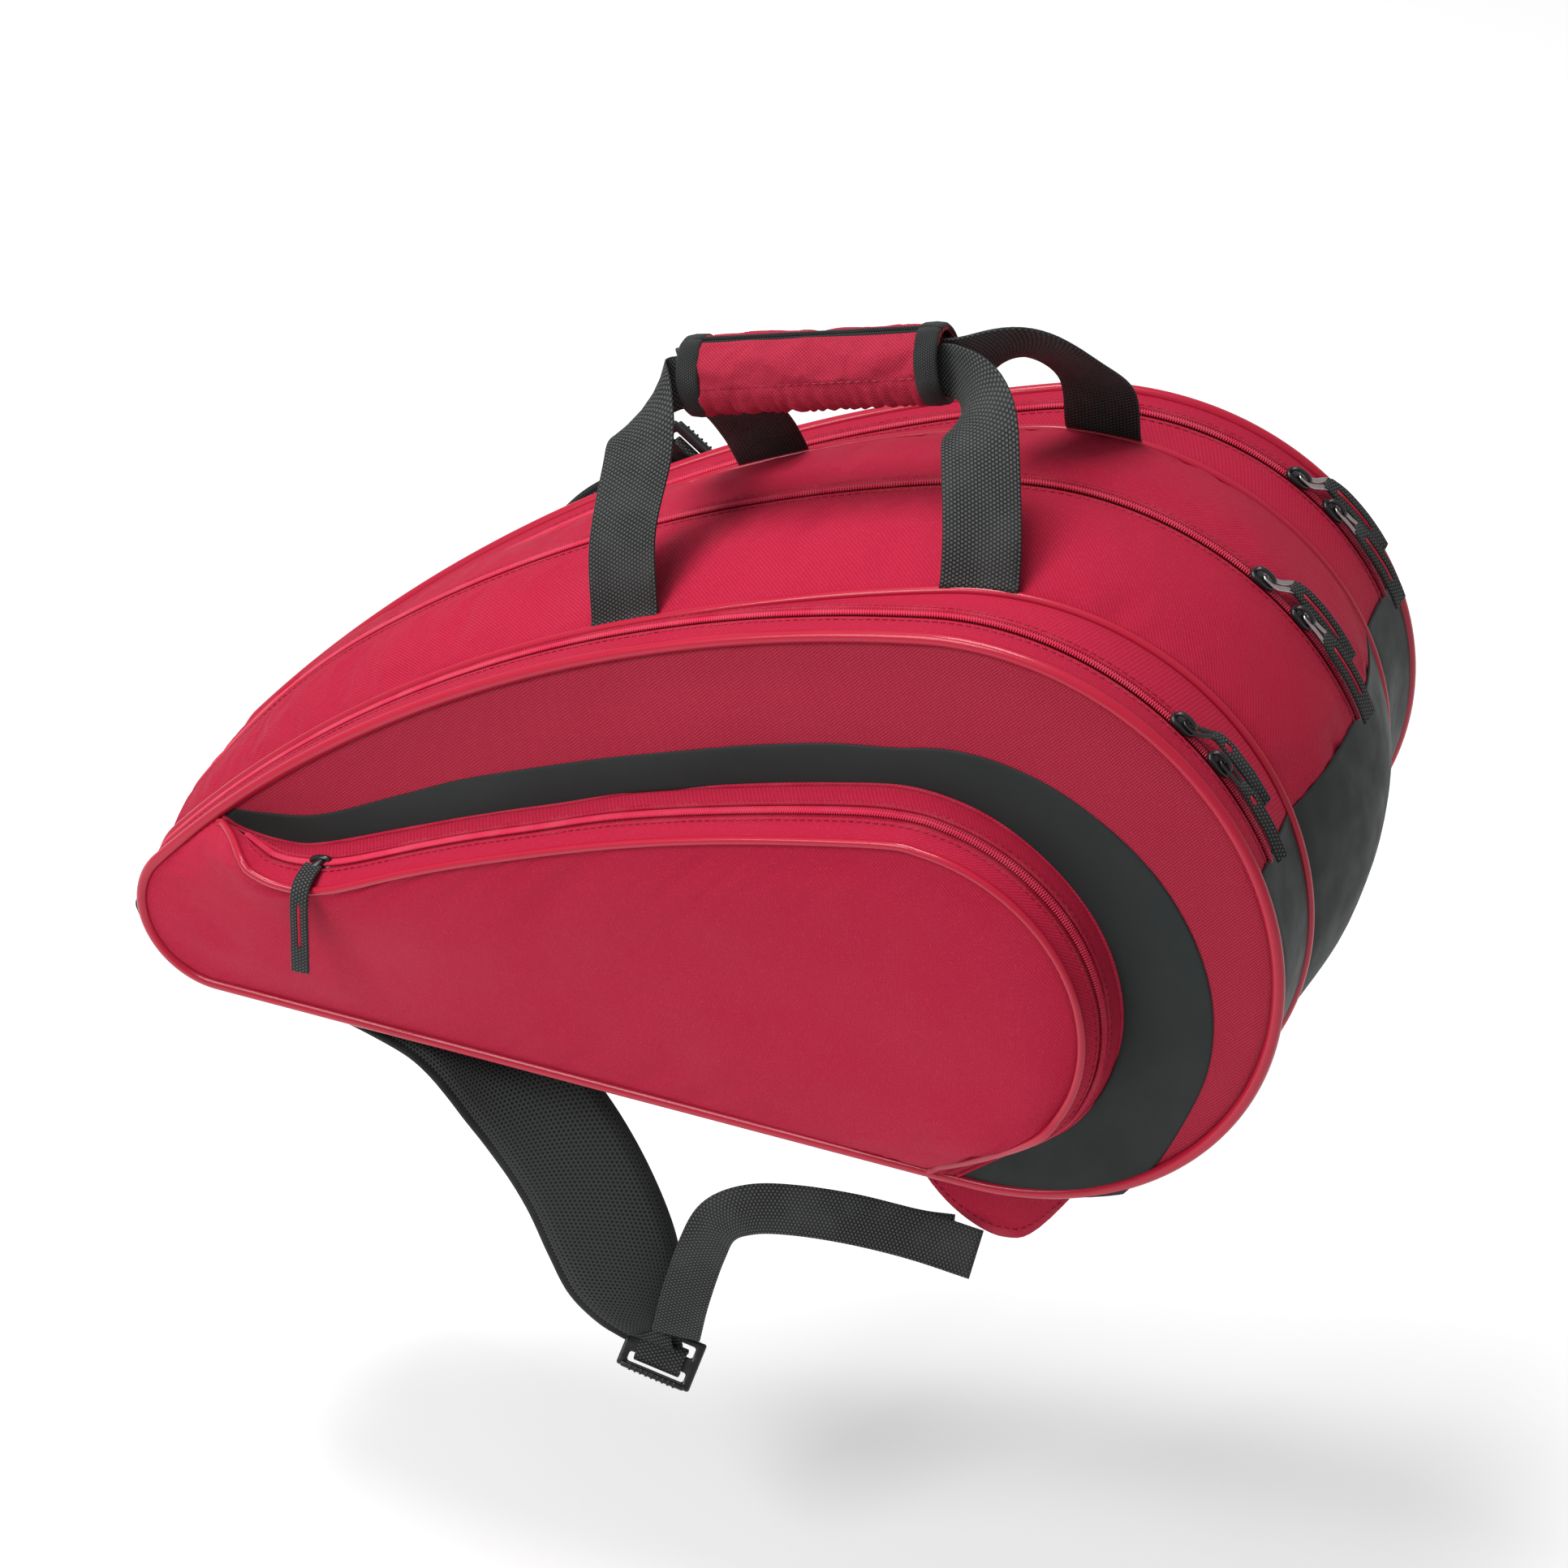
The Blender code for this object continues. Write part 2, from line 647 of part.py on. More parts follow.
def build_pocket_slider(mats, cover, spot, along, out):
    """The pocket's one slider, parked at the narrow end, with its tab hanging over the ridge."""
    matrix = placed(spot, along, out)
    slide = joint_frame("pocket_slider", spot, cover)
    add_object("pocket_slider", slider_mesh("pocket_zip_slider"), mats["plastic"], slide, matrix)
    flip = joint_frame("pocket_pull", Vector(spot) + Vector(out).normalized() * PULL_AXIS_Z, slide)
    x, y, z = spot
    points = [(x - 3.0, y - 9.5, z + 2.0), (x - 5.0, y - 18.5, z + 1.0), (x - 5.0, y - 23.0, z - 8.0),
              (x - 5.0, y - 24.0, z - 26.0), (x - 5.0, y - 24.5, z - 48.0)]
    ribbon("pocket_pull", mats["webbing"], flip, points, [(1.0, 0.0, 0.0)] * 5, 8.4, 1.6)


# ---------------------------------------------------------------- carry handle

def grip_matrix():
    tilt = math.radians(GRIP_TILT)
    along, up = (math.cos(tilt), 0.0, math.sin(tilt)), (-math.sin(tilt), 0.0, math.cos(tilt))
    return placed((0.0, 0.0, 0.0), along, up)


def half_tube_mesh(name, a0, a1, r_out, r_in, half_length):
    """Part of a tube along X between two angles measured from +Y towards +Z."""
    count = 8
    turns = [math.radians(mix(a0, a1, i / count)) for i in range(count + 1)]
    shape = [(r_out * math.cos(t), r_out * math.sin(t)) for t in turns]
    shape += [(r_in * math.cos(t), r_in * math.sin(t)) for t in reversed(turns)]
    return swept_mesh(name, [[(x, y, z) for y, z in shape] for x in (-half_length, half_length)])


def leg_base(x, side):
    """Where a handle leg is sewn into the seam at the top of a divider."""
    y = side * (inner_half(x) - 2.0)
    return Vector((x, y, outline_heights(x, SKIN_INSET)[1] + 4.0))


def build_handle(mats, handle, flap):
    matrix = grip_matrix()
    inner = GRIP_R - WRAP_WALL
    top, under = WRAP_SEAM_GAP, 2.0 * WRAP_SEAM_GAP
    front = half_tube_mesh("wrap_front", 90.0 + top, 270.0 - under, GRIP_R, inner, GRIP_HALF)
    rear = half_tube_mesh("wrap_rear", -90.0 + under, 90.0 - top, GRIP_R, inner, GRIP_HALF)
    add_object("wrap_front", front, mats["red"], flap, matrix)
    add_object("wrap_rear", rear, mats["red"], handle, matrix)
    core = block_mesh("grip_core", [-60.0, 60.0], [-11.0, 11.0], [-7.0, 7.0], lambda i, j, k: True)
    add_object("grip_core", core, mats["webbing"], handle, matrix)
    grip_way = Vector(matrix.col[0][:3])
    widths = [WEBBING_W, WEBBING_W, 36.0, 28.0, 20.0]
    legs = (
        ("front_leg_left", -74.0, -1,
         [(-78, -62, -72), (-77, -41, -40), (-79, -22, -22), (-72.5, -8, -15.5)]),
        ("front_leg_right", 101.0, -1, [(99, -67, -36), (92, -46, -9), (84, -24, 8), (72.5, -8, 15.5)]),
        ("rear_leg_left", -46.0, 1, [(-49, 60, -72), (-55, 42, -50), (-72, 22, -27), (-72.5, 8, -15.5)]),
        ("rear_leg_right", 120.0, 1, [(119, 66, -24), (108, 46, -2), (90, 24, 13), (72.5, 8, 15.5)]),
    )
    for name, x, side, route in legs:
        points = [leg_base(x, side)] + [Vector(p) for p in route]
        seam_way = (leg_base(x + 1.0, side) - leg_base(x - 1.0, side)).normalized()
        end = Vector((-0.2, 0.35 * -side, 0.95))
        sides = [seam_way, seam_way.lerp(grip_way, 0.5), grip_way.lerp(end, 0.2), grip_way.lerp(end, 0.6),
                 grip_way.lerp(end, 0.9)]
        ribbon(name, mats["webbing"], handle, points, sides, widths, WEBBING_T)


# ---------------------------------------------------------------- shoulder straps

def build_near_strap(mats, bag, strap, lock):
    under = BASE_Z - PAD_T / 2.0 - 0.8
    root = [(-262, -44, under), (-235, -45, under), (-208, -49, under - 0.5), (-180, -57.5, under - 4.0),
            (-157, -66, -385.5)]
    flat = Vector((0.0, -1.0, 0.0))
    ribbon("near_pad_root", mats["mesh"], bag, root,
           [flat, flat, (0.0, -1.0, -0.03), (-0.08, -0.98, -0.08), (-0.16, -0.95, -0.15)], PAD_W, PAD_T)
    hang = [(-151, -68, -388), (-133, -73, -396), (-114, -77, -415), (-98, -80, -439), (-85, -83, -466),
            (-76, -85, -488), (-68, -86, -506), (-62, -87, -518.5)]
    facing = sides_facing(hang, VIEW_SIDE)
    turn = [smooth((i + 1.0) / 3.5) for i in range(len(hang))]
    start = Vector((-0.16, -0.95, -0.15))
    sides = [start.lerp(side, t) for side, t in zip(facing, turn)]
    ribbon("near_pad", mats["mesh"], strap, hang, sides, [PAD_W] * 5 + [58.0, 44.0, 27.0], PAD_T)
    centre = Vector((-55.0, -89.0, -534.0))
    matrix = placed(centre, (0.95, 0.0, -0.26), VIEW_SIDE)
    add_object("near_ladder_lock", ladder_lock_mesh("near_ladder_lock"), mats["plastic"], lock, matrix)
    tail = [(-45.5, -94, -516), (-40, -95, -490), (-31, -95, -458), (-22, -95, -438), (-5, -95, -427),
            (18, -95, -422.5), (48, -95, -421.5), (80, -96, -423), (112, -99, -426)]
    tail = [Vector(p) for p in tail]
    ribbon("near_webbing_tail", mats["webbing"], strap, tail, sides_facing(tail, VIEW_SIDE),
           STRAP_WEB_W, WEBBING_T)
    behind = VIEW_SIDE.normalized() * -5.0
    fixed = [p + behind for p in tail[:-1]] + [Vector((98.0, -93.0, -424.0))]
    ribbon("near_webbing", mats["webbing"], strap, fixed, sides_facing(fixed, VIEW_SIDE),
           STRAP_WEB_W, WEBBING_T)


def build_tab(name, mats, bag, side):
    """A fabric tab sewn under the base near the fat end, that a strap's webbing is sewn into."""
    shape = [(66.0, -1.0), (84.0, -36.0), (104.0, -54.0), (128.0, -58.0), (150.0, -46.0), (172.0, -1.0)]
    y = side * 84.0
    rings = [[(x, place, BASE_Z + z) for x, z in shape] for place in (y - 1.5, y + 1.5)]
    return add_object(name, swept_mesh(name, rings), mats["red"], bag)


def build_far_strap(mats, bag, strap, lock):
    """The far strap, turned up behind the bag so that it lies along the rear cover."""
    panel_out = Vector(((HALF_AT_TIP - HALF_AT_END) / (END_X - TIP_X), 1.0, 0.0))
    under = BASE_Z - PAD_T / 2.0 - 0.8
    root = [(-262, 30, under), (-250, 48, under), (-236, 66, under), (-226, 80, under)]
    rear = lambda x, out: outer_half(x) + 1.0 + out
    flat = Vector((0.8, -0.6, 0.0))
    ribbon("far_pad_root", mats["mesh"], bag, root, [flat] * 4, 54.0, PAD_T)
    out = PAD_T / 2.0 + 5.6
    spots = [(-219, -362), (-212, -332), (-198, -292), (-178, -246), (-154, -202), (-134, -170),
             (-118, -148), (-112, -141)]
    pad = [Vector((x, rear(x, out), z)) for x, z in spots]
    ribbon("far_pad", mats["mesh"], strap, pad, sides_facing(pad, -panel_out),
           [54.0, 58.0, PAD_W, PAD_W, PAD_W, 56.0, 38.0, 27.0], PAD_T)
    centre = Vector((-101.2, rear(-101.2, out), -128.4))
    matrix = placed(centre, (0.76, 0.0, -0.65), panel_out)
    add_object("far_ladder_lock", ladder_lock_mesh("far_ladder_lock"), mats["plastic"], lock, matrix)
    route = [(-92, -146), (-74, -172), (-42, -212), (0, -262), (44, -308), (82, -342), (104, -364)]
    web = [Vector((x, rear(x, 4.4), z)) for x, z in route]
    ribbon("far_webbing", mats["webbing"], strap, web, sides_facing(web, -panel_out),
           STRAP_WEB_W, WEBBING_T)
    rings = [[(x, 92.0, z), (x, 124.0, z), (x, 124.0, z - 2.0), (x, 92.0, z - 2.0)]
             for x, z in ((88.0, BASE_Z - 0.6), (128.0, BASE_Z - 0.6))]
    add_object("far_tab", swept_mesh("far_tab", rings), mats["red"], bag)


def build_end_tab(mats, bag):
    """A small folded webbing tab sewn in the seam at the narrow end."""
    x, z, nx, nz = outline_at(ARC_LENGTHS[0] + ARC_LENGTHS[1] + NARROW_R * math.radians(60.0))
    y = -outer_half(x) + 12.0
    shape = ((0.6 - SKIN_INSET, -9.0), (5.5, -8.0), (5.5, 8.0), (0.6 - SKIN_INSET, 9.0))
    rings = [[(x + nx * n - nz * t, place, z + nz * n + nx * t) for n, t in shape]
             for place in (y - 3.0, y + 3.0)]
    add_object("narrow_end_tab", swept_mesh("narrow_end_tab", rings), mats["webbing"], bag)


def main():
    for obj in list(bpy.data.objects):
        bpy.data.objects.remove(obj, do_unlink=True)
    mats = make_materials()
    handle = joint_frame("carry_handle", (0.0, 0.0, 0.0))
    flap = joint_frame("wrap_flap", WRAP_SEAM, handle)
    bag = joint_frame("bag", (0.0, 0.0, 0.0), handle)
    front_cover = joint_frame("front_cover", (0.0, -outer_half(0.0), BASE_Z + PIPING_R), bag)
    rear_cover = joint_frame("rear_cover", (0.0, outer_half(0.0), BASE_Z + PIPING_R), bag)
    near_strap = joint_frame("near_strap", NEAR_PAD_SEAM, bag)
    near_lock = joint_frame("near_lock", NEAR_LOCK_BAR, near_strap)
    far_strap = joint_frame("far_strap", FAR_PAD_SEAM, rear_cover)
    far_lock = joint_frame("far_lock", FAR_LOCK_BAR, far_strap)
    build_handle(mats, handle, flap)
    build_compartments(mats, bag)
    build_cover(-1, mats, front_cover)
    build_cover(1, mats, rear_cover)
    build_pocket_slider(mats, front_cover, *build_pocket(mats, front_cover))
    build_sliders(mats, bag)
    build_near_strap(mats, bag, near_strap, near_lock)
    build_far_strap(mats, bag, far_strap, far_lock)
    build_tab("near_tab", mats, bag, -1)
    build_end_tab(mats, bag)


main()
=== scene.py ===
"""Looks of the racket tournament bag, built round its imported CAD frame.

Lengths below are millimetres in the bag's own frame and become metres when a mesh is made. X runs from the
narrow end to the fat end, Y from the front cover to the rear one, and the grip's middle is the origin. The
bag's outline lies in XZ, and s is a distance round it, from the fat end's lowest point over the top.
"""
import contextlib
import math

import bmesh
import bpy
import numpy as np
from mathutils import Matrix, Vector, noise


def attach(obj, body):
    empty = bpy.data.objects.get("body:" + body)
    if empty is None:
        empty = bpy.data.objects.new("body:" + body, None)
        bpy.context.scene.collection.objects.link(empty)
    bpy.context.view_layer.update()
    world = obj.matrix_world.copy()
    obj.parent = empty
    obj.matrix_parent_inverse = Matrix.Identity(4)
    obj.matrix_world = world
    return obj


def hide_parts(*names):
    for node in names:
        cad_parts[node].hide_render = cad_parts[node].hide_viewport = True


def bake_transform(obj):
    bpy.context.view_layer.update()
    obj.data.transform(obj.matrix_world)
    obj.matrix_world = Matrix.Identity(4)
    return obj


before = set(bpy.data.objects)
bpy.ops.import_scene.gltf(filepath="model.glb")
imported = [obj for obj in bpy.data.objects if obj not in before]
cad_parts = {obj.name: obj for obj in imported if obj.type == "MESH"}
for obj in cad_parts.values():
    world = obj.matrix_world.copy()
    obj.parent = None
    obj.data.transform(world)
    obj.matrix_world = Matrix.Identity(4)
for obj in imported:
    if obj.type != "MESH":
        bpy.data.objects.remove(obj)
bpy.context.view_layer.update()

MM = 0.001

# ---------------------------------------------------------------- the bag's driving sizes

FAT_X, FAT_Z, FAT_R = 113.5, -210.5, 155.0          # the circle of the outline's fat end
NARROW_X, NARROW_R = -293.0, 44.0                   # the circle of its narrow end
TOP_R = 728.0                                       # the arc over the top
BASE_Z = FAT_Z - FAT_R                              # the straight base
NARROW_Z = BASE_Z + NARROW_R
TIP_X, END_X = NARROW_X - NARROW_R, FAT_X + FAT_R
HALF_AT_TIP, HALF_AT_END = 70.0, 144.0              # half the bag's width at its two ends
SIDE_DEPTH_TIP, SIDE_DEPTH_END = 28.0, 60.0         # depth of the outer compartments there
CROWN = 15.0                                        # rise of the middle compartment's top
SKIN_INSET = 2.5                                    # the cloth lies this far inside the outline
PIPING_INSET, PIPING_R = 3.6, 3.1
INNER_PIPING_INSET, INNER_PIPING_R = 2.7, 2.3
ZIP_FROM_EDGE = 20.0
TAPE_HALF = 3.9                                     # half the width between a zip's two hems
BLACK_TOP_ANGLE = 23.8                              # where the zips reach the end panel, on the fat end
ZIP_START_ANGLE = 22.0                              # where they reach the base panel, on the narrow end
END_PANEL_UNDER = 30.0                              # how far the end panel runs on under the base
SLIDER_ANGLE, SLIDER_STEP = 52.0, 9.0               # the first slider's place on the fat end; the second's
FABRIC = 1.0
COVER_CROWN = 5.0

POCKET_X, POCKET_Z, POCKET_R = 88.0, -243.0, 102.0
POCKET_DEPTH = 35.0

GRIP_TILT, GRIP_HALF, GRIP_R = 12.3, 65.0, 19.0
WEBBING_W, WEBBING_T = 38.0, 1.6
PAD_W, PAD_T, STRAP_WEB_W = 62.0, 9.0, 25.0
VIEW_SIDE = Vector((0.25, -0.80, 0.55))             # the near strap's webbing is turned this way

SIDES = ((-1, "front"), (1, "rear"))
ZIPS = ((-1, "front"), (0, "middle"), (1, "rear"))
FORWARD, UPWARD = Vector((0.0, -1.0, 0.0)), Vector((0.0, 0.0, 1.0))


def mix(a, b, t):
    return a + (b - a) * t


def smooth(t):
    """Eases from 0 to 1 as t goes from 0 to 1."""
    t = min(max(t, 0.0), 1.0)
    return t * t * (3.0 - 2.0 * t)


# ---------------------------------------------------------------- the outline

def top_arc_centre():
    """Centre of the arc that touches both end circles."""
    to_fat, to_narrow = TOP_R - FAT_R, TOP_R - NARROW_R
    dx, dz = NARROW_X - FAT_X, NARROW_Z - FAT_Z
    span = math.hypot(dx, dz)
    reach = (to_fat ** 2 - to_narrow ** 2 + span ** 2) / (2.0 * span)
    drop = math.sqrt(to_fat ** 2 - reach ** 2)
    ux, uz = dx / span, dz / span
    return FAT_X + ux * reach - uz * drop, FAT_Z + uz * reach + ux * drop


TOP_X, TOP_Z = top_arc_centre()
FAT_JOIN = math.atan2(FAT_Z - TOP_Z, FAT_X - TOP_X)
NARROW_JOIN = math.atan2(NARROW_Z - TOP_Z, NARROW_X - TOP_X)
ARCS = [
    (FAT_X, FAT_Z, FAT_R, -math.pi / 2, FAT_JOIN),
    (TOP_X, TOP_Z, TOP_R, FAT_JOIN, NARROW_JOIN),
    (NARROW_X, NARROW_Z, NARROW_R, NARROW_JOIN, 1.5 * math.pi),
]
ARC_LENGTHS = [r * (a1 - a0) for _, _, r, a0, a1 in ARCS]
BASE_LENGTH = FAT_X - NARROW_X
PERIMETER = sum(ARC_LENGTHS) + BASE_LENGTH


def on_fat_end(degrees):
    """Distance round the outline of an angle on the fat end."""
    return FAT_R * (math.radians(degrees) + math.pi / 2)


ZIP_START = ARC_LENGTHS[0] + ARC_LENGTHS[1] + NARROW_R * math.radians(ZIP_START_ANGLE)
ZIP_END = on_fat_end(BLACK_TOP_ANGLE)
BASE_END = PERIMETER - END_PANEL_UNDER


def outline_at(s, inset=0.0):
    """Point and outward direction (x, z, nx, nz) at distance s round the outline."""
    s = s % PERIMETER
    for (cx, cz, radius, a0, _), length in zip(ARCS, ARC_LENGTHS):
        if s <= length:
            angle = a0 + s / radius
            nx, nz = math.cos(angle), math.sin(angle)
            return cx + (radius - inset) * nx, cz + (radius - inset) * nz, nx, nz
        s -= length
    return NARROW_X + s, BASE_Z + inset, 0.0, -1.0


def stations(s0, s1, step):
    """Evenly spread distances from s0 to s1, closer round the narrow end."""
    marks = [s0]
    while marks[-1] < s1 - 0.5 * step:
        x = outline_at(marks[-1])[0]
        marks.append(marks[-1] + (0.6 * step if x < NARROW_X + 20.0 else step))
    marks[-1] = s1
    return marks


def depth_inside(x, z):
    """Distance of a place on a cover from the outline."""
    if -math.pi / 2 <= math.atan2(z - FAT_Z, x - FAT_X) <= FAT_JOIN:
        return FAT_R - math.hypot(x - FAT_X, z - FAT_Z)
    angle = math.atan2(z - NARROW_Z, x - NARROW_X) % (2.0 * math.pi)
    if NARROW_JOIN <= angle <= 1.5 * math.pi:
        return NARROW_R - math.hypot(x - NARROW_X, z - NARROW_Z)
    return min(z - BASE_Z, TOP_R - math.hypot(x - TOP_X, z - TOP_Z))


def outer_half(x):
    return mix(HALF_AT_TIP, HALF_AT_END, (x - TIP_X) / (END_X - TIP_X))


def inner_half(x):
    return outer_half(x) - mix(SIDE_DEPTH_TIP, SIDE_DEPTH_END, smooth((x + 80.0) / 350.0))


def swell(y, x, z):
    """How far the middle compartment's skin stands out beyond the outline."""
    half = inner_half(x)
    if abs(y) >= half:
        return 0.0
    rise = CROWN * smooth((z - BASE_Z - 20.0) / 150.0)
    return rise * (1.0 - (y / half) ** 2)


def skin(s, y, lift):
    """A place on the gusset's skin, lifted outward."""
    x, z, nx, nz = outline_at(s)
    out = swell(y, x, z) - SKIN_INSET + lift
    return Vector((x + nx * out, y, z + nz * out))


def cover_y(x, z, out):
    """The y of the front cover's outer face, a soft pillow between its piped edges."""
    rise = smooth((depth_inside(x, z) - 6.0) / 55.0)
    return -(outer_half(x) + 0.2 + COVER_CROWN * rise + out)


def ripple(place, size, amount):
    """Gentle unevenness of a fabric surface."""
    return amount * noise.noise(Vector(place) / size)


# ---------------------------------------------------------------- curves

def curve_through(points, steps):
    """Points of a smooth curve through the given points (Catmull-Rom)."""
    ends = [Vector(points[0]) * 2 - Vector(points[1])] + [Vector(p) for p in points]
    ends.append(Vector(points[-1]) * 2 - Vector(points[-2]))
    result = []
    for i in range(1, len(ends) - 2):
        p0, p1, p2, p3 = ends[i - 1:i + 3]
        for k in range(steps):
            t = k / steps
            result.append(0.5 * ((2 * p1) + (p2 - p0) * t + (2 * p0 - 5 * p1 + 4 * p2 - p3) * t ** 2
                                 + (3 * p1 - p0 - 3 * p2 + p3) * t ** 3))
    result.append(ends[-2])
    return result


def evenly(points, count=None, spacing=None):
    """The polyline resampled at even distances."""
    places = np.array([tuple(p) for p in points], float)
    steps = np.linalg.norm(np.diff(places, axis=0), axis=1)
    along = np.concatenate([[0.0], np.cumsum(steps)])
    if count is None:
        count = max(3, int(round(along[-1] / spacing)) + 1)
    marks = np.linspace(0.0, along[-1], count)
    return [Vector([float(np.interp(m, along, places[:, k])) for k in range(places.shape[1])]) for m in marks]


def tangents(points):
    last = len(points) - 1
    return [(points[min(i + 1, last)] - points[max(i - 1, 0)]).normalized() for i in range(last + 1)]


def sides_facing(points, look):
    """Directions across a curve that lie in the plane seen from look."""
    return [head.cross(Vector(look)).normalized() for head in tangents(points)]


def reader(path, *columns):
    """A path's length, and a function that reads the columns' numbers at a distance along it."""
    marks = np.concatenate([[0.0], np.cumsum([(b - a).length for a, b in zip(path, path[1:])])])
    table = np.array([[number for part in parts for number in part] for parts in zip(*columns)])
    return marks[-1], lambda mark: [float(np.interp(mark, marks, values)) for values in table.T]


# ---------------------------------------------------------------- mesh makers

def make_object(name, verts, faces, loops_uv, mat):
    mesh = bpy.data.meshes.new(name)
    mesh.from_pydata([tuple(Vector(v) * MM) for v in verts], [], faces)
    if loops_uv:
        layer = mesh.uv_layers.new(name="UVMap")
        layer.data.foreach_set("uv", np.array(loops_uv, np.float32).ravel() * MM)
    mesh.materials.append(mat)
    mesh.shade_smooth()
    obj = bpy.data.objects.new(name, mesh)
    bpy.context.scene.collection.objects.link(obj)
    return obj


def grid(name, rows, mat, close_rows=False, close_cols=False, caps=False, uv=None):
    """A surface through rows of points, with UVs in millimetres of cloth."""
    count, width = len(rows), len(rows[0])
    pts = np.array([[tuple(p) for p in row] for row in rows], float)
    du = np.linalg.norm(np.roll(pts, -1, axis=0) - pts, axis=2).mean(axis=1)
    dv = np.linalg.norm(np.roll(pts, -1, axis=1) - pts, axis=2).mean(axis=0)
    us = np.concatenate([[0.0], np.cumsum(du)])
    vs = np.concatenate([[0.0], np.cumsum(dv)])
    faces, loops = [], []
    for r in range(count if close_rows else count - 1):
        for c in range(width if close_cols else width - 1):
            r2, c2 = (r + 1) % count, (c + 1) % width
            faces.append((r * width + c, r * width + c2, r2 * width + c2, r2 * width + c))
            if uv is None:
                loops += [(us[r], vs[c]), (us[r], vs[c + 1]), (us[r + 1], vs[c + 1]), (us[r + 1], vs[c])]
            else:
                loops += [uv(rows[a][b]) for a, b in ((r, c), (r, c2), (r2, c2), (r2, c))]
    if caps:
        for r in (0, count - 1):
            ring = list(range(r * width, (r + 1) * width))
            faces.append(tuple(ring if r else ring[::-1]))
            loops += [(us[r], vs[c]) for c in (range(width) if r else reversed(range(width)))]
    verts = [tuple(p) for p in pts.reshape(-1, 3)]
    return make_object(name, verts, faces, loops, mat)


def modified(obj, kind, **settings):
    """Gives an object a modifier and applies it."""
    modifier = obj.modifiers.new(kind, kind)
    for key, value in settings.items():
        setattr(modifier, key, value)
    graph = bpy.context.evaluated_depsgraph_get()
    mesh = bpy.data.meshes.new_from_object(obj.evaluated_get(graph), depsgraph=graph)
    obj.modifiers.clear()
    old = obj.data
    obj.data = mesh
    mesh.name = obj.name
    bpy.data.meshes.remove(old)
    return obj


@contextlib.contextmanager
def edited(obj):
    """An object's mesh as a bmesh, written back afterwards."""
    bm = bmesh.new()
    bm.from_mesh(obj.data)
    yield bm
    bm.to_mesh(obj.data)
    bm.free()


def tidy_normals(obj):
    """Makes a closed object's faces point outward."""
    with edited(obj) as bm:
        bmesh.ops.recalc_face_normals(bm, faces=bm.faces)
    return obj


def welded(obj):
    """Joins the points where rows meet, and drops the faces that have no area left."""
    distance = 0.02 * MM
    with edited(obj) as bm:
        bmesh.ops.remove_doubles(bm, verts=bm.verts, dist=distance)
        bmesh.ops.dissolve_degenerate(bm, edges=bm.edges, dist=distance)
    return obj


def thicken(obj, thickness):
    """Gives a cloth surface its thickness, on its inner side."""
    modified(obj, "SOLIDIFY", thickness=thickness * MM, offset=-1.0, use_even_offset=False)
    return tidy_normals(obj)


def facing(obj, way):
    """Turns an open surface's faces to look along way, a direction or a function of a face's centre."""
    score = 0.0
    for poly in obj.data.polygons:
        aim = way(poly.center / MM) if callable(way) else way
        score += poly.normal.dot(aim) * poly.area
    if score < 0:
        obj.data.flip_normals()
    return obj


def in_xz(place):
    """UVs of cloth that stands upright along the bag."""
    return place.x, place.z


def ring_tube(name, path, ways, radius, mat, sides=12, closed=False, flat=1.0):
    """A tube along path; ways are its up directions, or one for all, and flat squeezes it along them."""
    if isinstance(ways, Vector):
        ways = [ways] * len(path)
    heads = tangents(path)
    if closed:
        last = len(path)
        heads = [(path[(i + 1) % last] - path[i - 1]).normalized() for i in range(last)]
    rows = []
    for place, head, way in zip(path, heads, ways):
        up = (Vector(way) - head * head.dot(Vector(way))).normalized()
        side = head.cross(up)
        rows.append([place + up * (radius * flat * math.cos(a)) + side * (radius * math.sin(a))
                     for a in (2.0 * math.pi * k / sides for k in range(sides))])
    obj = grid(name, rows, mat, close_rows=closed, close_cols=True, caps=not closed)
    return tidy_normals(obj)


def band_profile(width, thickness):
    """Cross-section of a woven band with rounded edges: (across, out) places."""
    flat, r = width / 2.0 - thickness / 2.0, thickness / 2.0
    turns = [math.pi / 2 * k / 3 for k in range(-3, 4)]
    shape = [(flat + r * math.cos(a), r * math.sin(a)) for a in turns]
    shape += [(mix(flat, -flat, k / 6.0), r) for k in range(1, 6)]
    return shape + [(-a, -b) for a, b in shape]


def ribbon(name, points, sides, widths, thickness, mat, profile=band_profile, spacing=3.0):
    """A band swept along a smooth curve; sides give the direction of its width.

    Returns the object, and the places, sides and widths along it.
    """
    if isinstance(widths, (int, float)):
        widths = [widths] * len(points)
    path, ways, spread = [curve_through(row, 8) for row in (points, sides, [(w, 0.0) for w in widths])]
    length, read = reader(path, path, ways, [w[:1] for w in spread])
    fine = [read(mark) for mark in np.linspace(0.0, length, max(3, int(length / spacing) + 1))]
    places = [Vector(f[:3]) for f in fine]
    sides = [Vector(f[3:6]).normalized() for f in fine]
    widths = [f[6] for f in fine]
    rows = []
    for place, head, side, width in zip(places, tangents(places), sides, widths):
        out = side.cross(head).normalized()
        rows.append([place + side * a + out * b for a, b in profile(width, thickness)])
    obj = grid(name, rows, mat, close_cols=True, caps=True)
    return tidy_normals(obj), places, sides, widths


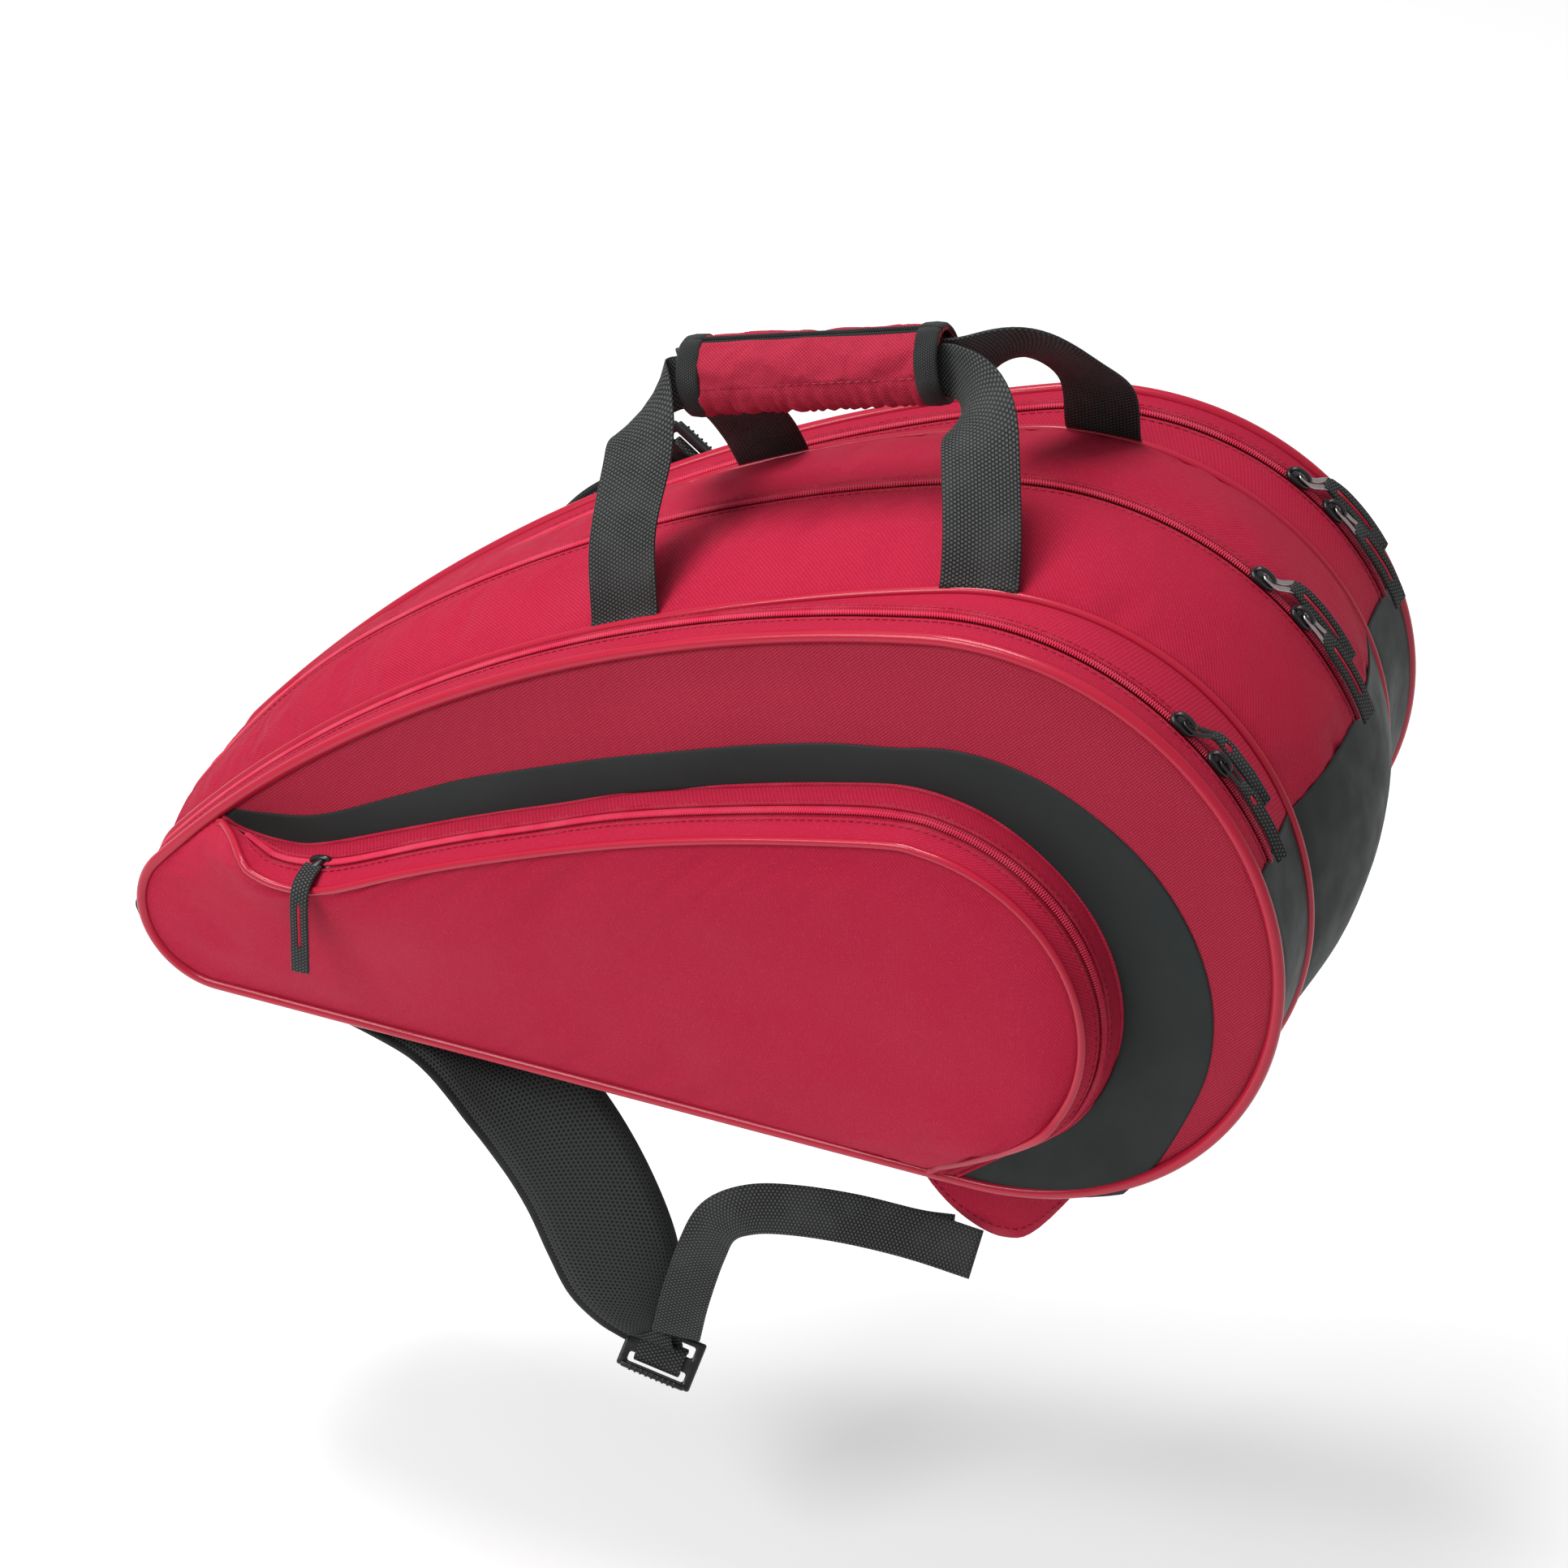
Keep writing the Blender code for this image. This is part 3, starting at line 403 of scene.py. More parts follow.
def beads(name, each, mat):
    """Many small closed pieces in one mesh, each a stack of rings of points."""
    verts, faces = [], []
    for rings in each:
        start, sides = len(verts), len(rings[0])
        last = start + sides * (len(rings) - 1)
        verts += [place for ring in rings for place in ring]
        for low in range(start, last, sides):
            for k in range(sides):
                beside = (k + 1) % sides
                faces.append((low + k, low + beside, low + sides + beside, low + sides + k))
        faces.append(tuple(range(start, start + sides)))
        faces.append(tuple(reversed(range(last, last + sides))))
    return tidy_normals(make_object(name, verts, faces, None, mat))


STITCH_R = 0.32
STITCH_RINGS = [(0.0, 0.15), (0.2, 0.9), (0.8, 0.9), (1.0, 0.15)]       # (place along it, thickness)


def stitches(name, path, normals, mat, pitch=4.2, length=2.9):
    """A line of thread stitches lying on a surface."""
    whole, read = reader(path, path, normals)
    count = int(whole / pitch)
    turns = [2.0 * math.pi * k / 5 for k in range(5)]
    each = []
    for i in range(count):
        middle = (i + 0.5) * whole / count
        ends = [read(middle - 0.5 * length), read(middle + 0.5 * length)]
        a, b = Vector(ends[0][:3]), Vector(ends[1][:3])
        up = (Vector(ends[0][3:]) + Vector(ends[1][3:])).normalized()
        side = (b - a).normalized().cross(up).normalized()
        each.append([[a.lerp(b, t) + (side * math.cos(turn) + up * math.sin(turn)) * STITCH_R * fat
                      for turn in turns] for t, fat in STITCH_RINGS])
    return beads(name, each, mat)


# ---------------------------------------------------------------- materials

class Looks:
    """A material built from nodes: its colour, roughness and bump."""

    def __init__(self, name, roughness, **values):
        self.mat = bpy.data.materials.new(name)
        self.mat.use_nodes = True
        self.tree = self.mat.node_tree
        self.shader = self.tree.nodes["Principled BSDF"]
        self.shader.inputs["Roughness"].default_value = roughness
        for key, value in values.items():
            self.shader.inputs[key.replace("_", " ")].default_value = value

    def node(self, kind, sockets=(), **settings):
        made = self.tree.nodes.new("ShaderNode" + kind)
        for key, value in settings.items():
            setattr(made, key, value)
        for key, value in dict(sockets).items():
            if isinstance(value, bpy.types.NodeSocket):
                self.tree.links.new(value, made.inputs[key])
            else:
                made.inputs[key].default_value = value
        return made

    def math(self, operation, a, b=0.0, c=0.0):
        return self.node("Math", {0: a, 1: b, 2: c}, operation=operation).outputs[0]

    def blend(self, factor, a, b):
        """A colour between a and b."""
        a, b = [v if isinstance(v, bpy.types.NodeSocket) else (*v, 1.0) for v in (a, b)]
        return self.node("Mix", {0: factor, 6: a, 7: b}, data_type="RGBA").outputs[2]

    def between(self, value, low, high, to_low=0.0, to_high=1.0):
        return self.node("MapRange", {0: value, 1: low, 2: high, 3: to_low, 4: to_high}).outputs[0]

    def place(self):
        """Places in the piece's own frame, in metres."""
        return self.node("TexCoord").outputs["Object"]

    def noise(self, scale, detail=2.0):
        made = self.node("TexNoise", {"Vector": self.place(), "Scale": scale, "Detail": detail})
        return made.outputs["Fac"]

    def worn(self, low, high):
        """1 on outward edges, broken up by noise, and 0 elsewhere."""
        edge = self.between(self.node("NewGeometry").outputs["Pointiness"], low, high)
        return self.math("MULTIPLY", edge, self.between(self.noise(60.0, 4.0), 0.4, 0.62))

    def yarns(self, pitch_u, pitch_v, flat=False):
        """Yarn numbers along and across the cloth; flat cloth is read in its XZ plane."""
        if flat:
            parts = self.node("SeparateXYZ", {0: self.place()})
            u, v = parts.outputs[0], parts.outputs[2]
        else:
            parts = self.node("SeparateXYZ", {0: self.node("UVMap", uv_map="UVMap").outputs[0]})
            u, v = parts.outputs[0], parts.outputs[1]
        keep_positive = 4096.0
        return (self.math("MULTIPLY_ADD", u, 1.0 / (pitch_u * MM), keep_positive),
                self.math("MULTIPLY_ADD", v, 1.0 / (pitch_v * MM), keep_positive))

    def hump(self, count):
        """A round yarn's height over each whole number."""
        return self.math("SINE", self.math("MULTIPLY", self.math("FRACT", count), math.pi))

    def weave(self, pitch, group, period, flat):
        """Height of woven cloth, and 1 where the warp is on top.

        Groups of yarns lie side by side and pass over half of each period.
        """
        u, v = self.yarns(pitch, pitch, flat)
        steps = [self.math("FLOOR", self.math("DIVIDE", n, group)) for n in (u, v)]
        mark = self.math("MODULO", self.math("ADD", *steps), period)
        over = self.math("LESS_THAN", mark, period / 2.0)
        warp, weft = self.hump(u), self.hump(v)
        return self.math("MULTIPLY_ADD", over, self.math("SUBTRACT", warp, weft), weft), over

    def bump(self, height, distance, under=None):
        """Bends the surface by a height of so many millimetres."""
        made = self.node("Bump", {"Height": height, "Distance": distance * MM, "Strength": 1.0})
        if under is not None:
            self.tree.links.new(under, made.inputs["Normal"])
        return made.outputs[0]

    def finish(self, colour, normal, roughness=None):
        self.tree.links.new(colour, self.shader.inputs["Base Color"])
        self.tree.links.new(normal, self.shader.inputs["Normal"])
        if roughness is not None:
            self.tree.links.new(roughness, self.shader.inputs["Roughness"])
        return self.mat


def darker(colour, share):
    return tuple(c * share for c in colour)


def lighter(colour, share):
    return tuple(mix(c, 1.0, share) for c in colour)


def woven(name, colour, pitch, group, period, depth, sheen, gap=0.45, glint=0.0, wear=0.3, flat=False):
    """Polyester cloth: yarns with painted shade in the gaps between them, painted highlight and shade by
    which yarn lies on top, slightly uneven dye, and pale rubbed edges.
    """
    roughness = 0.7
    look = Looks(name, roughness, Sheen_Weight=sheen, Sheen_Roughness=0.5, Specular_IOR_Level=0.12)
    look.shader.inputs["Sheen Tint"].default_value = (*lighter(colour, 0.2), 1.0)
    height, over = look.weave(pitch, group, period, flat)
    # painted highlight and shade: yarns with the warp on top get the colour lightened toward white by glint,
    # the others a darker copy
    turned = look.blend(over, darker(colour, 0.66), lighter(colour, glint))
    # painted shade: the low places between the yarns are darkened by gap
    yarn = look.blend(look.between(height, 0.1, 0.8), darker(colour, gap), turned)
    uneven = look.between(look.noise(7.0, 3.0), 0.3, 0.7, 0.0, 0.26)
    dyed = look.blend(uneven, yarn, darker(colour, 0.62))
    flecks = look.between(look.noise(1400.0, 1.0), 0.58, 0.75, 0.0, 0.35)
    flecked = look.blend(flecks, dyed, lighter(colour, 0.05))
    rubbed = look.blend(look.math("MULTIPLY", look.worn(0.53, 0.62), wear), flecked, lighter(colour, 0.12))
    soft = look.bump(look.noise(55.0, 3.0), 0.35)
    rough = look.between(look.noise(25.0), 0.3, 0.7, roughness - 0.07, roughness + 0.08)
    return look.finish(rubbed, look.bump(height, depth, soft), rough)


def coated(name, colour, grain, roughness, coat=0.0):
    """Smooth coated cloth or vinyl with a fine grain."""
    look = Looks(name, roughness, Coat_Weight=coat, Coat_Roughness=0.12, Specular_IOR_Level=0.14)
    uneven = look.between(look.noise(9.0, 4.0), 0.3, 0.7, 0.0, 0.35)
    base = look.blend(uneven, colour, darker(colour, 0.72))
    rubbed = look.blend(look.math("MULTIPLY", look.worn(0.56, 0.68), 0.3), base, lighter(colour, 0.15))
    fine = look.noise(1.0 / (grain * MM), 2.0)
    rough = look.between(look.noise(45.0, 3.0), 0.35, 0.65, roughness - 0.05, roughness + 0.08)
    return look.finish(rubbed, look.bump(fine, 0.05, look.bump(look.noise(70.0, 2.0), 0.12)), rough)


def webbing_look(name, colour, rib, column):
    """Woven webbing: short ribs across it, shifted by half a rib in every other column; the rib tops carry a
    painted highlight and the hollows painted shade.
    """
    look = Looks(name, 0.62, Sheen_Weight=0.03, Sheen_Roughness=0.4, Specular_IOR_Level=0.25)
    u, v = look.yarns(rib, column)
    shift = look.math("MULTIPLY", look.math("MODULO", look.math("FLOOR", v), 2.0), 0.5)
    ribs = look.hump(look.math("ADD", u, shift))
    columns = look.hump(v)
    height = look.math("MULTIPLY", ribs, look.between(columns, 0.0, 0.6, 0.25, 1.0))
    # painted highlight and shade: the rib tops keep the full colour, the hollows between ribs are painted
    # near black
    yarn = look.blend(look.between(height, 0.5, 0.97), darker(colour, 0.07), colour)
    dusty = look.blend(look.between(look.noise(30.0, 4.0), 0.45, 0.75, 0.0, 0.3), yarn, lighter(colour, 0.02))
    rubbed = look.blend(look.math("MULTIPLY", look.worn(0.54, 0.64), 0.3), dusty, lighter(colour, 0.08))
    return look.finish(rubbed, look.bump(height, 0.35))


def mesh_look(name, colour, pitch):
    """Spacer mesh: rows of small holes painted dark as shade, every other row shifted."""
    look = Looks(name, 0.75, Sheen_Weight=0.05, Sheen_Roughness=0.4, Specular_IOR_Level=0.2)
    u, v = look.yarns(pitch, pitch * 0.85)
    shift = look.math("MULTIPLY", look.math("MODULO", look.math("FLOOR", v), 2.0), 0.5)
    across, down = look.hump(look.math("ADD", u, shift)), look.hump(v)
    hole = look.between(look.math("MULTIPLY", across, down), 0.45, 0.75)
    # painted shade: the holes are darkened to 6% of the colour
    yarn = look.blend(hole, colour, darker(colour, 0.06))
    faded = look.blend(look.between(look.noise(12.0, 3.0), 0.4, 0.7, 0.0, 0.4), yarn, darker(colour, 0.6))
    return look.finish(faded, look.bump(look.math("SUBTRACT", 1.0, hole), 0.45))


def moulded(name, colour, roughness, metallic=0.0):
    """Moulded plastic or cast metal with fine scuffs and edges rubbed bright."""
    look = Looks(name, roughness, Metallic=metallic, Specular_IOR_Level=0.5)
    cloudy = look.blend(look.between(look.noise(120.0, 4.0), 0.4, 0.7, 0.0, 0.5), colour, darker(colour, 0.7))
    rubbed = look.blend(look.math("MULTIPLY", look.worn(0.56, 0.68), 0.35), cloudy, lighter(colour, 0.12))
    rough = look.between(look.noise(300.0, 3.0), 0.35, 0.65, roughness - 0.06, roughness + 0.1)
    return look.finish(rubbed, look.bump(look.noise(900.0, 2.0), 0.03), rough)


RED = (0.550, 0.0130, 0.053)
VINYL_RED = (0.400, 0.0088, 0.033)
CHARCOAL = (0.0205, 0.0245, 0.0240)
BLACK = (0.030, 0.032, 0.032)

# gap sets the painted shade between yarns, glint the painted highlight on warp-on-top yarns
TWILL = woven("red_twill", RED, pitch=0.52, group=1, period=4, depth=0.14, sheen=0.06, gap=0.55)
BASKET = woven("red_basket_weave", RED, pitch=0.46, group=2, period=2, depth=0.20, sheen=0.06, gap=0.42,
               glint=0.035)
PIPING = coated("red_piping_vinyl", VINYL_RED, grain=0.5, roughness=0.34, coat=0.35)
TAPE = woven("red_zip_tape", (0.46, 0.011, 0.042), pitch=0.55, group=1, period=2, depth=0.10, sheen=0.03)
COIL = coated("red_zip_coil", (0.57, 0.026, 0.072), grain=0.4, roughness=0.40)
COATED = coated("charcoal_coated_cloth", CHARCOAL, grain=0.35, roughness=0.55)
# the webbing colours are the painted highlight tone of the rib tops; their hollows are painted near black
WEBBING = webbing_look("black_webbing", (0.062, 0.067, 0.066), rib=2.0, column=1.6)
TAB_WEBBING = webbing_look("black_tab_webbing", (0.060, 0.063, 0.063), rib=1.9, column=1.6)
SPACER = mesh_look("black_spacer_mesh", (0.042, 0.045, 0.045), pitch=2.3)
BINDING = webbing_look("black_binding", (0.028, 0.030, 0.030), rib=1.2, column=1.1)
PLASTIC = moulded("black_acetal", (0.009, 0.009, 0.010), roughness=0.30)
METAL = moulded("grey_zinc", (0.50, 0.50, 0.49), roughness=0.32, metallic=1.0)
LINING = woven("charcoal_lining", (0.030, 0.030, 0.034), pitch=1.1, group=1, period=2, depth=0.12, sheen=0.03,
               wear=0.0, flat=True)
RED_THREAD = woven("red_thread", (0.50, 0.014, 0.042), pitch=0.4, group=1, period=2, depth=0.05, sheen=0.03)
BLACK_THREAD = woven("black_thread", BLACK, pitch=0.4, group=1, period=2, depth=0.05, sheen=0.03)


# ---------------------------------------------------------------- placing the pieces

def stands_for(obj, nodes):
    if nodes:
        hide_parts(*nodes)


def belongs(obj, body, nodes=()):
    """Says which body a piece rides on and hides the CAD nodes it stands for."""
    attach(obj, body)
    stands_for(obj, nodes)


def crosses(obj, ends, nodes=()):
    """For a piece that lies between two bodies: bakes its place into its mesh and hides the CAD nodes it
    stands for. ends (mm) are not used.
    """
    Vector(ends[0]) * MM
    Vector(ends[1]) * MM
    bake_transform(obj)
    stands_for(obj, nodes)


PUFF_FRAMES = 16


def puffed(obj, pressure, cap, held, spare):
    """Blows a cloth surface out between its held points, never further than cap millimetres.

    spare is the share by which the cloth is wider than the place it is sewn into.
    """
    scene = bpy.context.scene
    group = obj.vertex_groups.new(name="held")
    group.add([int(i) for i in held], 1.0, "REPLACE")
    cloth = obj.modifiers.new("cloth", "CLOTH")
    values = cloth.settings
    values.quality = 5
    values.mass = 0.1
    values.tension_stiffness = values.compression_stiffness = 8.0
    values.shear_stiffness = 4.0
    values.bending_stiffness = 0.2
    values.vertex_group_mass = "held"
    values.shrink_min = -spare
    values.use_pressure = True
    values.uniform_pressure_force = pressure
    values.effector_weights.gravity = 0.0
    cloth.collision_settings.use_collision = False
    cloth.point_cache.frame_start, cloth.point_cache.frame_end = 1, PUFF_FRAMES
    for number in range(1, PUFF_FRAMES + 1):
        scene.frame_set(number)
    shaped = obj.evaluated_get(bpy.context.evaluated_depsgraph_get()).data
    count = len(obj.data.vertices)
    before, after = np.empty(count * 3), np.empty(count * 3)
    obj.data.vertices.foreach_get("co", before)
    shaped.vertices.foreach_get("co", after)
    move = (after - before).reshape(-1, 3)
    length = np.linalg.norm(move, axis=1, keepdims=True)
    limit = cap * MM
    move *= limit * np.tanh(length / limit) / np.maximum(length, 1e-9)
    obj.modifiers.clear()
    obj.vertex_groups.clear()
    obj.data.vertices.foreach_set("co", before + move.ravel())
    scene.frame_set(1)
    return obj


def border(count, width, hem=2):
    """Indices of a grid's border points, with the first columns of its hem."""
    return [r * width + c for r in range(count) for c in range(width)
            if r in (0, count - 1) or c < hem or c >= width - 2]


# ---------------------------------------------------------------- gussets, end and base panels

# Profiles of a folded hem and of a sewn seam: (distance from the edge, lift)
HEM = [(0.0, -1.5), (0.2, -0.3), (0.9, 0.45), (1.8, 0.35), (2.6, -0.2), (3.6, 0.12)]
SEAM = [(0.0, -1.8), (0.9, -0.8), (2.2, -0.1)]


def section(edge, seam, count, hemmed):
    """(y, lift) places from a hemmed edge to a piped seam, or between two seams."""
    way = 1.0 if seam > edge else -1.0
    width = abs(seam - edge)
    near = HEM if hemmed else SEAM
    k = min(1.0, width / 9.0)
    places = [(edge + way * d * k, lift) for d, lift in near]
    low, high = near[-1][0] * k, width - SEAM[-1][0] * k
    places += [(edge + way * mix(low, high, i / (count + 1)), 0.0) for i in range(1, count + 1)]
    return places + [(seam - way * d * k, lift) for d, lift in reversed(SEAM)]


def panel(name, mat, s0, s1, edge, seam, count, hemmed=True, step=6.0, puff=0.0, ends=-1.9):
    """A cloth strip that follows the outline from y = edge(x) to y = seam(x).

    Its two ends are lifted by ends, so that one panel laps over the next where they are sewn.
    """
    rows = []
    marks = stations(s0, s1, step)
    marks = [s0, s0 + 1.2] + marks[1:-1] + [s1 - 1.2, s1]
    for s in marks:
        row = []
        lap = ends * (1.0 - smooth(min(s - s0, s1 - s) / 4.0))
        for y, lift in section(edge(outline_at(s)[0]), seam(outline_at(s)[0]), count, hemmed):
            place = skin(s, y, lift)
            quiet = smooth(abs(y - edge(place.x)) / 12.0) * smooth(abs(y - seam(place.x)) / 12.0)
            row.append(skin(s, y, lift + lap + quiet * ripple(place, 55.0, 1.6)))
        rows.append(row)
    obj = facing(grid(name, rows, mat), outward)
    if puff:
        puffed(obj, puff, 4.0, border(len(rows), len(rows[0]), len(HEM) + 1), spare=0.012)
    return thicken(obj, FABRIC)


def outward(place):
    """Direction from the bag's spine to a place."""
    t = min(max((place.x - NARROW_X) / (FAT_X - NARROW_X), 0.0), 1.0)
    return Vector((place.x - mix(NARROW_X, FAT_X, t), 0.0, place.z - mix(NARROW_Z, FAT_Z, t)))


def zip_y(which, x):
    """The y of a zip: -1 is the front one, 0 the middle one and 1 the rear one."""
    return which * (outer_half(x) - ZIP_FROM_EDGE)


def edge_of(which, side):
    """The y of the cloth edge on one side (-1 or 1) of a zip."""
    return lambda x: zip_y(which, x) + side * TAPE_HALF


# Where the black panels' margins would bend when a cover opens, from the bag's side to the cover's; crosses
# takes them but does not use them
FOLDS = {side: ((0.0, side * 84.0, -300.0), (-2.2, side * 102.0, -300.0)) for side in (-1, 1)}
GUSSET_S = (ZIP_END - 3.5, ZIP_START + 3.5)
BLACK_PANELS = (("end", -END_PANEL_UNDER, ZIP_END), ("base", ZIP_START, BASE_END))


def build_gussets():
    for side, word in SIDES:
        seam = lambda x, side=side: side * (inner_half(x) + 1.0)
        under = lambda x, side=side: side * (inner_half(x) - 1.0)
        cover_seam = lambda x, side=side: side * (outer_half(x) - 2.0)
        strip = panel(word + "_gusset_cloth", TWILL, *GUSSET_S, edge_of(side, -side), seam, 5)
        belongs(strip, "bag", [word + "_gusset"])
        half = panel(f"middle_{word}_cloth", TWILL, *GUSSET_S, edge_of(0, side), under, 11, puff=3.0)
        belongs(half, "bag", ["middle_gusset_" + word])
        edge = panel(word + "_edge_cloth", TWILL, *GUSSET_S, edge_of(side, side), cover_seam, 2)
        belongs(edge, word + "_cover", [word + "_edge_strip"])
        for place, s0, s1 in BLACK_PANELS:
            margin = panel(f"{word}_{place}_margin", COATED, s0, s1, seam, cover_seam, 6, False, ends=0.5)
            crosses(margin, FOLDS[side], [place + "_panel"])
    low, high = (lambda x: -inner_half(x) + 1.0), (lambda x: inner_half(x) - 1.0)
    for place, s0, s1 in BLACK_PANELS:
        middle = panel(f"{place}_cloth", COATED, s0, s1, low, high, 16, False, ends=0.5)
        belongs(middle, "bag", [place + "_panel"])


def build_pipings():
    marks = stations(0.0, PERIMETER, 5.0)[:-1]
    outs = [Vector((outline_at(s)[2], 0.0, outline_at(s)[3])) for s in marks]
    for side, word in SIDES:
        for inset, radius, half, body, kind, nodes in (
                (PIPING_INSET, PIPING_R, outer_half, word + "_cover", "_piping_cord", [word + "_piping"]),
                (INNER_PIPING_INSET, INNER_PIPING_R, inner_half, "bag", "_seam_piping", [])):
            path = []
            for s in marks:
                x, z, _, _ = outline_at(s, inset)
                path.append(Vector((x, side * half(x), z)))
            cord = ring_tube(word + kind, path, outs, radius, PIPING, closed=True)
            belongs(cord, body, nodes)


# ---------------------------------------------------------------- zips

TOOTH_PITCH = 1.3
TOOTH_HALF = 0.55
TOOTH_RINGS = [(0.55, 0.45), (0.2, 0.95), (-0.8, 1.0), (-1.7, 0.95), (-2.2, 0.5)]       # (reach, thickness)


def coil(name, path, ups, ins, half, mat):
    """One side of a coil zip: a row of small rounded teeth; ins points to the other side."""
    whole, read = reader(path, path, ups, ins)
    turns = [math.pi * k / 3.0 for k in range(6)]
    each = []
    for n in range(int(whole / TOOTH_PITCH)):
        here = read((n + (0.5 if half else 0.0)) * TOOTH_PITCH)
        place, up, way = Vector(here[:3]), Vector(here[3:6]).normalized(), Vector(here[6:]).normalized()
        head = up.cross(way) * TOOTH_HALF
        each.append([[place + way * reach + (head * math.cos(a) + up * math.sin(a)) * fat for a in turns]
                     for reach, fat in TOOTH_RINGS])
    return beads(name, each, mat)


def build_zips():
    marks = stations(ZIP_END - 1.5, ZIP_START + 1.5, 5.0)
    tape_lift = [(0.25, -1.6), (2.0, -1.5), (2.4, -1.15), (TAPE_HALF, -1.15), (TAPE_HALF + 1.0, -1.3)]
    for which, word in ZIPS:
        for side in (-1, 1):
            body = f"{word}_cover" if which == side else "bag"
            name = f"{word}_zip_{'front' if side < 0 else 'rear'}"
            rows, path, ups, ins, line = [], [], [], [], []
            for s in marks:
                x, _, nx, nz = outline_at(s)
                y = zip_y(which, x)
                up = Vector((nx, 0.0, nz))
                rows.append([skin(s, y + side * d, lift) for d, lift in tape_lift])
                path.append(skin(s, y, 0.1))
                ups.append(up)
                ins.append(Vector((0.0, -side, 0.0)))
                line.append(skin(s, y + side * (TAPE_HALF + 2.6), 0.15))
            tape = thicken(facing(grid(name + "_tape", rows, TAPE), outward), 0.5)
            belongs(tape, body, [word + "_zip"])
            belongs(coil(name + "_coil", path, ups, ins, side > 0, COIL), body)
            belongs(stitches(name + "_stitches", line, ups, RED_THREAD), body)


# ---------------------------------------------------------------- covers

def spine_at(s):
    """The place on the line between the two end circles' centres that faces s."""
    s = s % PERIMETER
    fat, narrow = Vector((FAT_X, FAT_Z)), Vector((NARROW_X, NARROW_Z))
    if s < ARC_LENGTHS[0]:
        return fat
    if s < ARC_LENGTHS[0] + ARC_LENGTHS[1]:
        return fat.lerp(narrow, (s - ARC_LENGTHS[0]) / ARC_LENGTHS[1])
    if s < PERIMETER - BASE_LENGTH:
        return narrow
    return narrow.lerp(fat, (s - PERIMETER + BASE_LENGTH) / BASE_LENGTH)


COVER_COUNTS = (50, 70, 20, 70)      # rows on the fat end, the top, the narrow end and the base


def cover_marks():
    """Distances round the outline; the top's and the base's meet in pairs on the spine."""
    marks, start = [], 0.0
    for length, count in zip(ARC_LENGTHS + [BASE_LENGTH], COVER_COUNTS):
        marks += [start + length * i / count for i in range(count)]
        start += length
    return marks


def cover_skin(name, side, mat):
    """A cover's cloth, from its piping to its spine; side is 1 on the rear cover and -1 on the front one."""
    rows = []
    reach = [0.0, 0.03, 0.07] + [i / 18.0 for i in range(2, 19)]
    for s in cover_marks():
        x, z, _, _ = outline_at(s, PIPING_INSET + 1.7)
        start, end = Vector((x, z)), spine_at(s)
        row = []
        for t in reach:
            spot = start.lerp(end, t)
            dent = -0.8 if t == 0.0 else ripple((spot.x, side * 70.0, spot.y), 70.0, 2.2) * smooth(t / 0.3)
            row.append(Vector((spot.x, -side * cover_y(spot.x, spot.y, dent), spot.y)))
        rows.append(row)
    obj = welded(grid(name, rows, mat, close_rows=True, uv=in_xz))
    return thicken(facing(obj, -side * FORWARD), FABRIC)


def arc_points(cx, cz, radius, a0, a1, count):
    turns = [math.radians(mix(a0, a1, i / count)) for i in range(count + 1)]
    return [(cx + radius * math.cos(t), cz + radius * math.sin(t)) for t in turns]


def pocket_rim():
    """The pocket's edge on the cover as (x, z) places."""
    top = [(-284, -258), (-273, -262), (-251, -262), (-228, -257), (-183, -236), (-138, -215), (-95, -197),
           (-52, -178), (11, -158)]
    round_end = arc_points(POCKET_X, POCKET_Z, POCKET_R + 0.5, 106.0, -58.0, 11)
    return curve_through(top + round_end + [(109, -359)], 6)


def band_top():
    """The upper edge of the cover's black band as (x, z) places."""
    top = [(-279, -252), (-259, -249), (-227, -240), (-182, -216), (-138, -193), (-52, -157), (32, -129)]
    round_end = arc_points(112.0, -238.0, 123.0, 108.0, -18.0, 9)
    return curve_through(top + round_end + [(211, -320), (194, -344)], 6)


def pocket_ridge():
    """The pocket's front ridge as (x, z, out) places."""
    depth = POCKET_DEPTH
    top = [(-285, -259, 1), (-272, -255, 17), (-261, -257, 31), (-255, -261, 34),
           (-238, -264, depth), (-214, -260, depth),
           (-170, -238, depth), (-126, -218, depth), (-61, -192, depth), (2, -172, depth)]
    round_end = [(x, z, depth) for x, z in arc_points(POCKET_X + 3.0, POCKET_Z + 2.0, 88.0, 100.0, -42.0, 10)]
    return curve_through(top + round_end + [(121, -334, 17.5), (95, -358, 1)], 6)


def build_band():
    count = 170
    low, high = evenly(pocket_rim(), count), evenly(band_top(), count)
    across = [(0.0, -0.4), (0.004, 0.7), (0.03, 0.95)] + [(i / 10.0, 0.95) for i in range(1, 10)]
    across += [(0.97, 0.95), (0.996, 0.7), (1.0, -0.4)]
    rows = []
    for i in range(count):
        bulge = 6.0 * smooth((i / (count - 1) - 0.85) / 0.15)
        row = []
        for t, out in across:
            spot = low[i].lerp(high[i], t)
            x, z = spot.x, spot.y - bulge * 4.0 * t * (1.0 - t)
            row.append(Vector((x, cover_y(x, z, out + ripple((x, -70.0, z), 70.0, 2.2)), z)))
        rows.append(row)
    obj = facing(grid("cover_band", rows, COATED, uv=in_xz), FORWARD)
    belongs(thicken(obj, 1.2), "front_cover")


def build_covers():
    for side, word in SIDES:
        cover = cover_skin(word + "_cover_cloth", side, TWILL if side > 0 else BASKET)
        belongs(cover, word + "_cover", [word + "_cover_panel"])
    build_band()


# ---------------------------------------------------------------- front pocket

